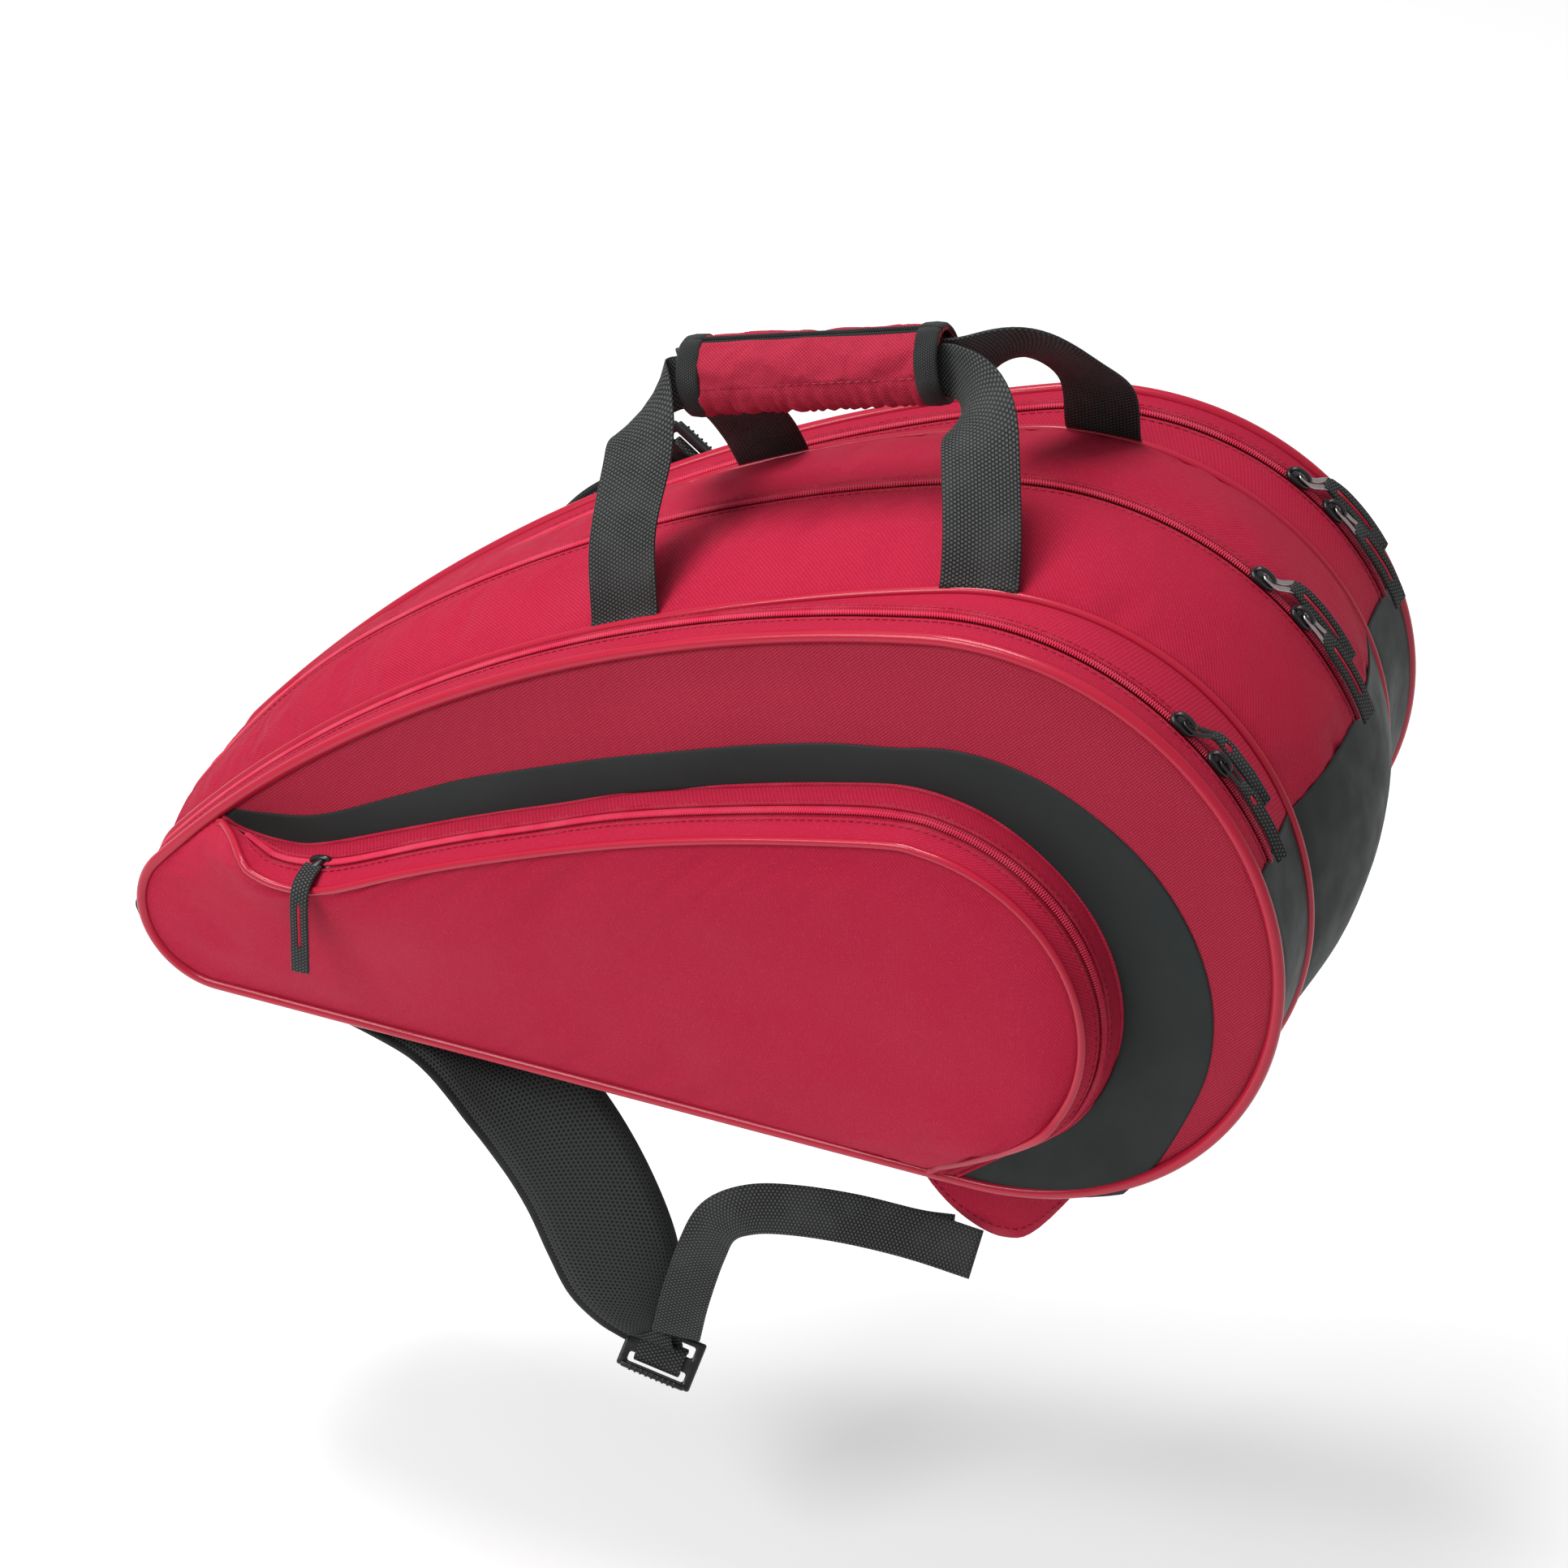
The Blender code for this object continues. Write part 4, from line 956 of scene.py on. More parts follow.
class Pocket:
    """The pocket's rim on the cover, its front ridge, and the directions its side wall faces between them."""

    count = 190

    def __init__(self):
        self.rim = [Vector((p.x, cover_y(p.x, p.y, 0.6), p.y)) for p in evenly(pocket_rim(), self.count)]
        self.ridge = [Vector((p.x, -(outer_half(p.x) + 1.3 + max(p.z, 4.0)), p.y))
                      for p in evenly(pocket_ridge(), self.count)]
        walls = zip(self.rim, self.ridge, tangents(self.rim))
        self.outs = [(b - a).cross(head).normalized() for a, b, head in walls]
        if self.outs[self.count // 2].z < 0:
            self.outs = [-out for out in self.outs]

    def gap(self, i):
        return (self.ridge[i] - self.rim[i]).length

    def wall(self, i, t, lift=0.0):
        """A place on the side wall, which bulges a little between rim and ridge."""
        out = lift + 0.05 * self.gap(i) * math.sin(math.pi * t)
        return self.rim[i].lerp(self.ridge[i], t) + self.outs[i] * out

    def tape_half(self, i):
        """Half the zip's share of the wall; it closes at both ends."""
        closing = smooth(i / 12.0) * smooth((self.count - 1 - i) / 12.0)
        return min(3.7 / max(self.gap(i), 1.0), 0.32) * closing


def away_from_pocket(place):
    return Vector((place.x - 30.0, 0.0, place.z + 330.0))


def build_pocket_gusset(pocket):
    for name, part, way in (("pocket_rim_cloth", 0.0, 1.0), ("pocket_front_gusset", 1.0, -1.0)):
        rows = []
        for i in range(pocket.count):
            edge = 0.5 - way * pocket.tape_half(i)
            gap = max(pocket.gap(i), 4.0)
            k = min(1.0, gap / 36.0)
            row = [pocket.wall(i, edge - way * d * k / gap, lift * k) for d, lift in HEM[:5]]
            row += [pocket.wall(i, mix(edge - way * 3.0 * k / gap, part, t)) for t in (0.3, 0.55, 0.8, 1.0)]
            rows.append(row)
        obj = thicken(facing(grid(name, rows, TWILL), away_from_pocket), FABRIC)
        belongs(obj, "front_cover", ["pocket_gusset"])


def build_pocket_zip(pocket):
    for side, word in ((-1, "rim"), (1, "ridge")):
        rows, path, ups, ins, line = [], [], [], [], []
        for i in range(6, pocket.count - 8):
            gap = max(pocket.gap(i), 4.0)
            half = pocket.tape_half(i)
            across = (0.3 / gap, half * 0.5, half + 0.8 / gap)
            rows.append([pocket.wall(i, 0.5 + side * t, -1.0) for t in across])
            path.append(pocket.wall(i, 0.5, 0.1))
            ups.append(pocket.outs[i])
            ins.append((pocket.rim[i] - pocket.ridge[i]).normalized() * side)
            line.append(pocket.wall(i, 0.5 + side * (half + 2.2 / gap), 0.2))
        name = "pocket_zip_" + word
        tape = thicken(facing(grid(name + "_tape", rows, TAPE), away_from_pocket), 0.5)
        belongs(tape, "front_cover", ["pocket_zip"])
        belongs(coil(name + "_coil", path, ups, ins, side > 0, COIL), "front_cover")
        belongs(stitches(name + "_stitches", line, ups, RED_THREAD), "front_cover")


def build_pocket_face(pocket):
    """The pocket's face, from its ridge to the cover's piping."""
    s0, s1 = ARC_LENGTHS[0] + ARC_LENGTHS[1] - 50.0, PERIMETER - 18.5
    reach = [0.0, 0.025, 0.06] + [i / 16.0 for i in range(2, 15)] + [0.95, 0.98, 1.0]
    rows = []
    for i, start in enumerate(pocket.ridge):
        x, z, _, _ = outline_at(mix(s0, s1, i / (pocket.count - 1)), PIPING_INSET + 1.9)
        foot = Vector((x, -(outer_half(x) + 0.6), z))
        length = (foot - start).length
        row = []
        for t in reach:
            spot = start.lerp(foot, t)
            crown = min(0.035 * length, 6.0) * math.sin(math.pi * t ** 0.8)
            dent = 1.2 if t < 0.03 else 0.0
            spot.y -= crown - dent + smooth(t / 0.2) * smooth((1 - t) / 0.2) * ripple(spot, 80.0, 1.6)
            row.append(spot)
        rows.append(row)
    obj = facing(grid("pocket_face_cloth", rows, TWILL, uv=in_xz), FORWARD)
    puffed(obj, 3.0, 5.0, border(len(rows), len(rows[0])), spare=0.008)
    obj = thicken(welded(obj), FABRIC)
    belongs(obj, "front_cover", ["pocket_face"])


def build_pocket():
    pocket = Pocket()
    build_pocket_gusset(pocket)
    build_pocket_zip(pocket)
    cord = ring_tube("pocket_ridge_piping", pocket.ridge, pocket.outs, 2.1, PIPING)
    belongs(cord, "front_cover")
    line = [place + out * 0.3 for place, out in zip(pocket.rim, pocket.outs)]
    belongs(ring_tube("pocket_rim_seam", line, pocket.outs, 1.1, TWILL, sides=8), "front_cover")
    build_pocket_face(pocket)


# ---------------------------------------------------------------- hard pieces

def placed(origin, x_axis, z_axis):
    """A matrix that puts a part's own X and Z axes along the given directions; origin in mm."""
    x = Vector(x_axis).normalized()
    z = Vector(z_axis)
    z = (z - x * z.dot(x)).normalized()
    matrix = Matrix((x, z.cross(x), z)).transposed().to_4x4()
    matrix.translation = Vector(origin)
    return matrix


def shaped(places, matrix):
    return [matrix @ Vector(place) for place in places]


def turned(way, matrix):
    return matrix.to_3x3() @ Vector(way)


def rounded(obj, width, segments, angle=30.0):
    """Rounds an object's sharp edges."""
    return modified(obj, "BEVEL", width=width * MM, segments=segments, angle_limit=math.radians(angle),
                    harden_normals=False)


def block(name, xs, ys, zs, filled, matrix, mat, bend=None):
    """A solid made of the filled cells of a grid, with UVs along its X and Y."""
    verts, faces, loops = {}, [], []
    size = (len(xs) - 1, len(ys) - 1, len(zs) - 1)

    def vert(corner):
        i, j, k = corner
        place = Vector((xs[i], ys[j], zs[k]))
        if bend:
            place = bend(place)
        return verts.setdefault(corner, (len(verts), place, (xs[i], ys[j] + zs[k])))

    def is_full(cell):
        return all(0 <= cell[a] < size[a] for a in range(3)) and filled(*cell)

    for cell in np.ndindex(size):
        if not is_full(cell):
            continue
        for axis in range(3):
            for side in (0, 1):
                beside = [c + ((1 if side else -1) if a == axis else 0) for a, c in enumerate(cell)]
                if is_full(tuple(beside)):
                    continue
                a, b = [n for n in range(3) if n != axis]
                square = []
                for da, db in ((0, 0), (1, 0), (1, 1), (0, 1)):
                    corner = list(cell)
                    corner[axis] += side
                    corner[a] += da
                    corner[b] += db
                    square.append(vert(tuple(corner)))
                faces.append([v[0] for v in square])
                loops += [v[2] for v in square]
    places = [matrix @ v[1] for v in sorted(verts.values(), key=lambda v: v[0])]
    return tidy_normals(make_object(name, places, faces, loops, mat))


def merged(name, objs):
    """Joins the meshes of several objects into the first, which keeps its place."""
    with bpy.context.temp_override(active_object=objs[0], selected_editable_objects=objs):
        bpy.ops.object.join()
    objs[0].name = objs[0].data.name = name
    return objs[0]


def bar(name, xs, ys, zs, matrix, radius, segments):
    """A plain bar of black plastic with rounded edges."""
    return rounded(block(name, xs, ys, zs, lambda *cell: True, matrix, PLASTIC), radius, segments)


def ladder_lock(name, matrix):
    """A ladder-lock buckle: a rounded frame, two slots and a ribbed thumb lip."""
    xs = [-20.0, -15.5, 15.5, 20.0]
    ys = [-13.0, -9.5, -4.5, -0.5, 3.5, 9.5, 13.0]
    slots = (1, 4)
    ladder = block(name, xs, ys, [-2.0, 2.0], lambda i, j, k: i != 1 or j not in slots, matrix, PLASTIC)
    rounded(ladder, 1.3, 4)
    lip = bar(name + "_lip", [-17.5, 17.5], [-13.2, -10.0], [1.2, 4.8], matrix, 1.1, 4)
    ribs = [bar(f"rib_{x}", [x - 0.6, x + 0.6], [-13.6, -10.4], [4.2, 5.2], matrix, 0.35, 2)
            for x in range(-12, 13, 3)]
    return merged(name, [ladder, lip] + ribs)


def slider_body(name, matrix):
    """A zip slider: a tapered saddle, side flanges that hold the coil, and an arched bridge."""
    outline = []
    for k in range(28):
        a = 2.0 * math.pi * k / 28
        taper = 1.0 - 0.16 * math.cos(a)
        outline.append((7.0 * math.copysign(abs(math.cos(a)) ** 0.75, math.cos(a)),
                        4.6 * taper * math.copysign(abs(math.sin(a)) ** 0.8, math.sin(a)) * 0.93))
    rows = [[matrix @ Vector((x * k, y * k, z)) for x, y in outline]
            for k, z in ((0.94, 0.6), (1.0, 0.9), (1.0, 2.4), (0.93, 3.0), (0.70, 3.3))]
    saddle = tidy_normals(grid(name, rows, PLASTIC, close_cols=True, caps=True))
    arch = []
    for k in range(13):
        a = math.pi * k / 12.0
        arch.append(matrix @ Vector((5.6 * math.cos(a), 0.0, 3.0 + 3.9 * math.sin(a) ** 0.6)))
    across = turned((0.0, 1.0, 0.0), matrix)
    bridge = ring_tube(name + "_bridge", arch, across, 1.0, PLASTIC, sides=10, flat=1.5)
    return merged(name, [saddle, bridge])


TAB_BEND_R = 110.0
PULL_ASIDE = 9.4             # the first slider's pull lies this far beside the second's
PULL_ROLL = 0.42             # and a pull is rolled by so many radians
PULL_AXIS_Z = 4.75           # height of a pull's axis over its slider


def pull_bend(aside, roll):
    """How a pull leaves its straight line: aside, drooping, and rolled about its own length."""
    def bend(place):
        turn = roll * smooth((place.x - 11.0) / 16.0)
        y, z = place.y, place.z - PULL_AXIS_Z
        across = y * math.cos(turn) - z * math.sin(turn) + aside * smooth((place.x - 5.0) / 12.0)
        droop = max(place.x - 12.0, 0.0) ** 2 / (2.0 * TAB_BEND_R)
        return Vector((place.x, across, PULL_AXIS_Z + y * math.sin(turn) + z * math.cos(turn) - droop))
    return bend


def metal_link(name, matrix, bend, half, mat):
    """The link that hooks under the bridge and runs through the woven tab: a flat teardrop ring."""
    side = [(0.5, 1.7), (3.5, 2.3), (8.6, 2.6), (12.5, half - 1.5), (15.5, half - 1.8)]
    other = [(x, -y) for x, y in reversed(side)]
    ring = curve_through([(0.0, 0.0)] + side + [(16.6, 0.0)] + other + [(0.0, 0.0)], 4)[:-1]
    path = [matrix @ bend(Vector((p.x, p.y, PULL_AXIS_Z))) for p in ring]
    return ring_tube(name, path, turned(UPWARD, matrix), 1.6, mat, sides=10, closed=True, flat=0.42)


def woven_tab(name, matrix, bend, length, half, slot):
    """A woven tab, doubled over the link, with a long slot down its middle."""
    x0, x1, x2 = 13.2, 17.0 + slot[0], 17.0 + slot[1]
    steps = [mix(x1, x2, t / 6.0) for t in range(1, 6)]
    xs = [x0, x0 + 3.0, x1] + steps + [x2, mix(x2, length, 0.5), length]
    ys = [-half, -1.2, 1.2, half]
    last_slot = 2 + len(steps)
    tab = block(name, xs, ys, [3.7, 5.7], lambda i, j, k: j != 1 or not 2 <= i <= last_slot, matrix,
                TAB_WEBBING, bend)
    rounded(tab, 0.55, 3)
    line = shaped([bend(Vector((x, 0.0, 5.0))) for x in [x1 - 0.6] + steps + [x2 + 0.6]], matrix)
    thread = ring_tube(name + "_thread", line, turned(UPWARD, matrix), 1.0, RED_THREAD, sides=8, flat=0.6)
    return tab, thread


def zip_frame(which, s):
    """Place and directions on a zip: its middle, the way down the fat end, and outward."""
    x, z, nx, nz = outline_at(s)
    y = zip_y(which, x)
    out = swell(y, x, z) - SKIN_INSET
    lean = (zip_y(which, x + 1.0) - y) * nz
    return placed((x + nx * out, y, z + nz * out), (nz, lean, -nx), (nx, 0.0, nz))


def build_sliders():
    for which, word in ZIPS:
        for number in (1, 2):
            matrix = zip_frame(which, on_fat_end(SLIDER_ANGLE - SLIDER_STEP * (number - 1)))
            aside = PULL_ASIDE if number == 1 else 0.0
            name, pull = f"{word}_slider_{number}", f"{word}_pull_{number}"
            belongs(slider_body(name + "_body", matrix), name, [name])
            slotted = which >= 0
            half, length, slot = (4.6, 60.0, (4.0, 30.0)) if slotted else (3.0, 54.0, (4.0, 8.0))
            bend = pull_bend(aside, PULL_ROLL if slotted else 2.0 * PULL_ROLL)
            link = metal_link(pull + "_link", matrix, bend, half, METAL if slotted else PLASTIC)
            belongs(link, pull, [pull])
            tab, thread = woven_tab(pull + "_tab", matrix, bend, length, half, slot)
            belongs(tab, pull)
            belongs(thread, pull)


POCKET_SLIDER = (-220.4, -103.1, -258.6)
POCKET_SLIDER_X = (-0.940, 0.136, -0.313)
POCKET_SLIDER_Z = (-0.340, -0.292, 0.894)
PULL_STEP = 0.5              # spacing of the places along the pocket pull's line


def build_pocket_slider():
    matrix = placed(POCKET_SLIDER, POCKET_SLIDER_X, POCKET_SLIDER_Z)
    belongs(slider_body("pocket_slider_body", matrix), "pocket_slider", ["pocket_slider"])
    x, y, z = POCKET_SLIDER
    ring = [(x - 0.8, y - 2.4, z + 5.2), (x - 2.0, y - 5.5, z + 4.6), (x - 3.6, y - 9.0, z + 3.7)]
    along_x = Vector((1.0, 0.0, 0.0))
    link = ring_tube("pocket_pull_link", curve_through(ring, 5), along_x, 1.2, PLASTIC, sides=10, flat=2.0)
    belongs(link, "pocket_pull", ["pocket_pull"])
    hang = [(x - 3.0, y - 6.5, z + 4.3), (x - 4.2, y - 14.0, z + 3.0), (x - 5.0, y - 20.5, z - 0.5),
            (x - 5.0, y - 24.0, z - 9.0), (x - 5.3, y - 24.3, z - 28.0), (x - 5.8, y - 24.3, z - 48.0)]
    line = evenly(curve_through(hang, 8), spacing=PULL_STEP)
    heads = tangents(line)

    def bend(place):
        i = min(int(max(place.x, 0.0) / PULL_STEP), len(line) - 1)
        side = (along_x - heads[i] * heads[i].dot(along_x)).normalized()
        return line[i] + side * place.y + side.cross(heads[i]).normalized() * place.z

    length = PULL_STEP * (len(line) - 1)
    xs = [3.0 * n for n in range(int(length / 3.0))] + [length]
    slot = [n for n in range(len(xs) - 1) if 0.34 < xs[n] / length < 0.72]
    tab = block("pocket_pull_tab", xs, [-4.6, -0.9, 0.9, 4.6], [-1.0, 1.0],
                lambda i, j, k: j != 1 or i not in slot, Matrix.Identity(4), TAB_WEBBING, bend)
    belongs(rounded(tab, 0.6, 3, angle=50.0), "pocket_pull")
    first, last = xs[slot[0]] - 1.0, xs[slot[-1] + 1] + 1.0
    cord = [bend(Vector((mix(first, last, t / 8.0), 0.0, -0.2))) for t in range(9)]
    thread = ring_tube("pocket_pull_thread", cord, FORWARD, 1.0, RED_THREAD, sides=8, flat=0.6)
    belongs(thread, "pocket_pull")


# ---------------------------------------------------------------- carry handle

def grip_matrix():
    tilt = math.radians(GRIP_TILT)
    c, s = math.cos(tilt), math.sin(tilt)
    return placed((0.0, 0.0, 0.0), (c, 0.0, s), (-s, 0.0, c))


def top_height(x):
    """Height of the gusset's skin over the bag at x."""
    if x > FAT_X + (FAT_R - SKIN_INSET) * math.cos(FAT_JOIN):
        return FAT_Z + math.sqrt((FAT_R - SKIN_INSET) ** 2 - (x - FAT_X) ** 2)
    return TOP_Z + math.sqrt((TOP_R - SKIN_INSET) ** 2 - (x - TOP_X) ** 2)


# Each leg's name, its foot's x, its side, and its way up to the grip
LEGS = (
    ("front_leg_left", -74.0, -1,
     [(-78, -62, -72), (-77, -41, -40), (-79, -22, -22), (-70, -9, -15), (-58, -6, -13)]),
    ("front_leg_right", 101.0, -1,
     [(99, -67, -36), (92, -46, -9), (84, -24, 8), (71, -9, 14), (58, -6, 13)]),
    ("rear_leg_left", -46.0, 1,
     [(-49, 60, -72), (-55, 42, -50), (-72, 22, -27), (-70, 9, -15), (-58, 6, -13)]),
    ("rear_leg_right", 120.0, 1,
     [(119, 66, -24), (108, 46, -2), (90, 24, 13), (71, 9, 14), (58, 6, 13)]),
)
LEG_WIDTHS = [WEBBING_W] * 4 + [37.0, 27.0, 24.0]


def leg_foot(x, side, lift, inset=2.0):
    """A place beside the divider's seam, where a leg is sewn down."""
    return Vector((x, side * (inner_half(x) - inset), top_height(x) + lift))


def build_legs():
    grip_way = turned((1.0, 0.0, 0.0), grip_matrix())
    for name, x, side, route in LEGS:
        seam_way = (leg_foot(x + 1.0, side, 0.0) - leg_foot(x - 1.0, side, 0.0)).normalized()
        points = [leg_foot(x, side, 0.6, inset=-0.6), leg_foot(x, side, 4.4)] + [Vector(p) for p in route]
        end = Vector((-0.2, -0.35 * side, 0.95))
        sides = [seam_way, seam_way, seam_way, seam_way.lerp(grip_way, 0.3)]
        sides += [grip_way.lerp(end, turn) for turn in (0.45, 0.95, 1.0)]
        leg, places, ways, widths = ribbon(name + "_webbing", points, sides, LEG_WIDTHS, WEBBING_T, WEBBING)
        bend = ((0, 0, points[-1].z), (0, 0, places[0].z))
        crosses(leg, bend, [name])
        tops = tangents(places)
        for mark, letter in ((-1, "a"), (1, "b")):
            line = []
            for i in range(1, min(9, len(places))):
                out = ways[i].cross(tops[i]).normalized()
                if out.z < 0:
                    out.negate()
                line.append(places[i] + ways[i] * mark * (widths[i] / 2 - 2.2) + out * (WEBBING_T / 2))
            thread = stitches(f"{name}_stitches_{letter}", line, [UPWARD] * len(line), BLACK_THREAD,
                              pitch=3.2, length=2.4)
            crosses(thread, bend)


BINDING_W = 11.0
GATHER_AT = 0.5              # share of the front half above its gathered strip


def wrap_half(name, a0, a1, gathered):
    """Half of the padded wrap round the grip; its lower edge is gathered into a narrow strip."""
    matrix = grip_matrix()
    columns, rings = 34, 66
    rows = []
    for r in range(rings):
        x = mix(-GRIP_HALF, GRIP_HALF, r / (rings - 1))
        end = 1.0 - smooth((GRIP_HALF - abs(x)) / 5.0)
        row = []
        for c in range(columns):
            t = c / (columns - 1)
            turn = math.radians(mix(a0, a1, t))
            low = smooth((t - GATHER_AT) / 0.06) if gathered else 0.0
            groove = math.exp(-((t - GATHER_AT) / 0.02) ** 2) if gathered else 0.0
            edge = 1.0 - smooth(min(t, 1.0 - t) / 0.05)
            pleats = 0.75 * math.sin(x * 1.1 + 5.0 * noise.noise((x * 0.09, t, 3.0))) * low * (1.0 - edge)
            radius = GRIP_R - 0.3 - 1.2 * end - 1.1 * groove - 0.9 * edge + pleats
            radius += 0.5 * noise.noise((x * 0.05, turn * 1.5, 1.0))
            row.append(matrix @ Vector((x, radius * math.cos(turn), radius * math.sin(turn))))
        rows.append(row)
    axis = turned((1.0, 0.0, 0.0), matrix)
    obj = facing(grid(name, rows, BASKET), lambda c: c - axis * c.dot(axis))
    seam_column = int(GATHER_AT * (columns - 1))
    held = border(rings, columns) + [r * columns + seam_column for r in range(rings) if gathered]
    puffed(obj, 5.0, 1.6, held, spare=0.03)
    return thicken(obj, 2.2)


def wrap_binding(name, a0, a1, end):
    """The black tape folded over one end of a wrap half."""
    matrix = grip_matrix()
    rows = []
    shape = [(-BINDING_W, 18.9), (0.6 - BINDING_W, 19.7), (-5.0, 19.9), (-1.0, 19.3), (0.4, 18.0),
             (-0.4, 16.6), (-3.0, 16.0), (-8.0, 16.2), (-BINDING_W, 17.4)]
    for k in range(26):
        turn = math.radians(mix(a0, a1, k / 25.0))
        wobble = 0.35 * noise.noise((turn * 2.0, end * 4.0, 7.0))
        across = Vector((0.0, math.cos(turn), math.sin(turn)))
        rows.append([matrix @ (Vector((end * (GRIP_HALF + x), 0.0, 0.0)) + across * (r + wobble))
                     for x, r in shape])
    return tidy_normals(grid(name, rows, BINDING, close_cols=True, caps=True))


def build_wrap_half(word, body, a0, a1, gathered):
    """One half of the wrap with its lip, its stitches and its two bound ends."""
    matrix = grip_matrix()
    half = wrap_half(f"wrap_{word}_cloth", *((a0, a1) if gathered else (a1, a0)), gathered)
    belongs(half, body, ["wrap_" + word])
    turn = math.radians(a0 + 1.0 if gathered else a1 - 0.5)
    radius = GRIP_R - (1.6 if gathered else 0.6)
    lip = shaped([(x, radius * math.cos(turn), radius * math.sin(turn)) for x in range(-60, 61, 4)], matrix)
    belongs(ring_tube(f"wrap_{word}_lip", lip, turned(UPWARD, matrix), 1.3, BINDING), body)
    if gathered:
        turn = math.radians(mix(a0, a1, GATHER_AT - 0.03))
        out = turned((0.0, math.cos(turn), math.sin(turn)), matrix)
        line = [matrix @ Vector((x, 0.0, 0.0)) + out * (GRIP_R + 0.3) for x in range(-54, 55, 4)]
        belongs(stitches("wrap_front_stitches", line, [out] * len(line), RED_THREAD), body)
    for end, side in ((-1, "left"), (1, "right")):
        belongs(wrap_binding(f"wrap_{word}_binding_{side}", a0, a1, end), body)


def build_wrap():
    build_wrap_half("front", "wrap_flap", 93.0, 263.0, True)
    build_wrap_half("rear", "carry_handle", -83.0, 87.0, False)


# ---------------------------------------------------------------- shoulder straps

def pad_bindings(prefix, places, ways, widths, fasten):
    """The tapes bound round a pad's two long edges; fasten puts each on its body."""
    for side, letter in ((-1, "a"), (1, "b")):
        path = [place + way * side * (width / 2.0 - 1.4) for place, way, width in zip(places, ways, widths)]
        fasten(ring_tube(f"{prefix}_{letter}", path, ways, 1.9, BINDING, flat=1.5))


def pad_profile(width, thickness):
    """Cross-section of a foam pad, with a sunk seam inside each bound edge."""
    inner = width / 2.0 - 4.5
    shape = []
    for k in range(15):
        a = mix(-inner, inner, k / 14.0)
        shape.append((a, thickness / 2.0 * (1.0 - 0.18 * (abs(a) / inner) ** 6)))
    shape += [(inner + 1.0, 0.26 * thickness), (inner + 2.6, 0.24 * thickness), (width / 2.0 - 0.4, 0.0),
              (inner + 2.6, -0.24 * thickness), (inner + 1.0, -0.26 * thickness)]
    return shape + [(-a, -b) for a, b in shape]


def padded_strap(name, points, sides, widths):
    """A foam pad faced with mesh on both sides."""
    return ribbon(name, points, sides, widths, PAD_T, SPACER, profile=pad_profile, spacing=4.0)


def strap_webbing(name, points, look=VIEW_SIDE):
    """Flat strap webbing that faces look."""
    return ribbon(name, points, sides_facing(points, look), STRAP_WEB_W, WEBBING_T, WEBBING)[0]


def lock_webbing(name, lock):
    """The turn of webbing round a buckle's middle bar."""
    turn = [(-5.6, -3.2), (-7.2, 0.0), (-5.2, 3.1), (-0.5, 3.6), (4.2, 3.1), (6.6, 0.0), (5.0, -3.2)]
    points = shaped([(0.0, y, z) for y, z in turn], lock)
    across = turned((1.0, 0.0, 0.0), lock)
    return ribbon(name, points, [across] * len(turn), STRAP_WEB_W, WEBBING_T, WEBBING, spacing=1.2)[0]


PAD_UNDER = BASE_Z - PAD_T / 2.0 - 0.8           # height of a pad's middle where it lies under the base


def build_near_pad():
    root = [(-262, -44, PAD_UNDER), (-235, -45, PAD_UNDER), (-208, -49, PAD_UNDER - 0.5),
            (-180, -57.5, PAD_UNDER - 4.0), (-157, -66, -385.5)]
    root_ways = [(0, -1, 0), (0, -1, 0), (0, -1, -0.03), (-0.08, -0.98, -0.08), (-0.16, -0.95, -0.15)]
    hang = [(-133, -73, -396), (-114, -77, -415), (-98, -80, -439), (-85, -83, -466), (-76, -85, -488),
            (-68, -86, -506), (-62, -87, -518.5)]
    ways = sides_facing([Vector(p) for p in [(-151, -68, -388)] + hang], VIEW_SIDE)[1:]
    start = Vector(root_ways[-1])
    ways = [start.lerp(way, smooth((i + 2.0) / 3.5)) for i, way in enumerate(ways)]
    widths = [40.0, 52.0] + [PAD_W] * 7 + [58.0, 44.0, 27.0]
    pad, *edges = padded_strap("near_pad_cloth", [Vector(p) for p in root + hang],
                               [Vector(way) for way in root_ways] + ways, widths)
    bend = ((-176, -58, -378), (-120, -74, -402))
    crosses(pad, bend, ["near_pad_root", "near_pad"])
    pad_bindings("near_pad_binding", *edges, lambda edge: crosses(edge, bend))


def build_near_strap():
    build_near_pad()
    lock = placed((-55.0, -89.0, -534.0), (0.95, 0.0, -0.26), VIEW_SIDE)
    belongs(ladder_lock("near_lock_body", lock), "near_lock", ["near_ladder_lock"])
    belongs(lock_webbing("near_lock_webbing", lock), "near_lock")
    tail = [Vector(p) for p in ((-45.5, -94, -516), (-40, -95, -490), (-31, -95, -458), (-22, -95, -438),
                                (-5, -95, -427), (18, -95, -422.5), (48, -95, -421.5), (80, -96, -423),
                                (112, -99, -426))]
    web = strap_webbing("near_webbing_tail_cloth", tail)
    belongs(web, "near_strap", ["near_webbing_tail"])
    behind = VIEW_SIDE.normalized() * -5.0
    fixed = [p + behind for p in tail[:-1]] + [Vector((98.0, -93.0, -424.0))]
    belongs(strap_webbing("near_webbing_cloth", fixed), "near_strap", ["near_webbing"])
    loop = [Vector(p) for p in ((-62, -88.5, -517), (-60.5, -90.5, -524), (-58, -88, -529),
                                (-57, -84.5, -526), (-60, -84.6, -518))]
    across = Vector((0.95, 0.0, -0.26))
    anchor = ribbon("near_pad_anchor", loop, [across] * len(loop), STRAP_WEB_W, WEBBING_T, WEBBING)[0]
    belongs(anchor, "near_strap")


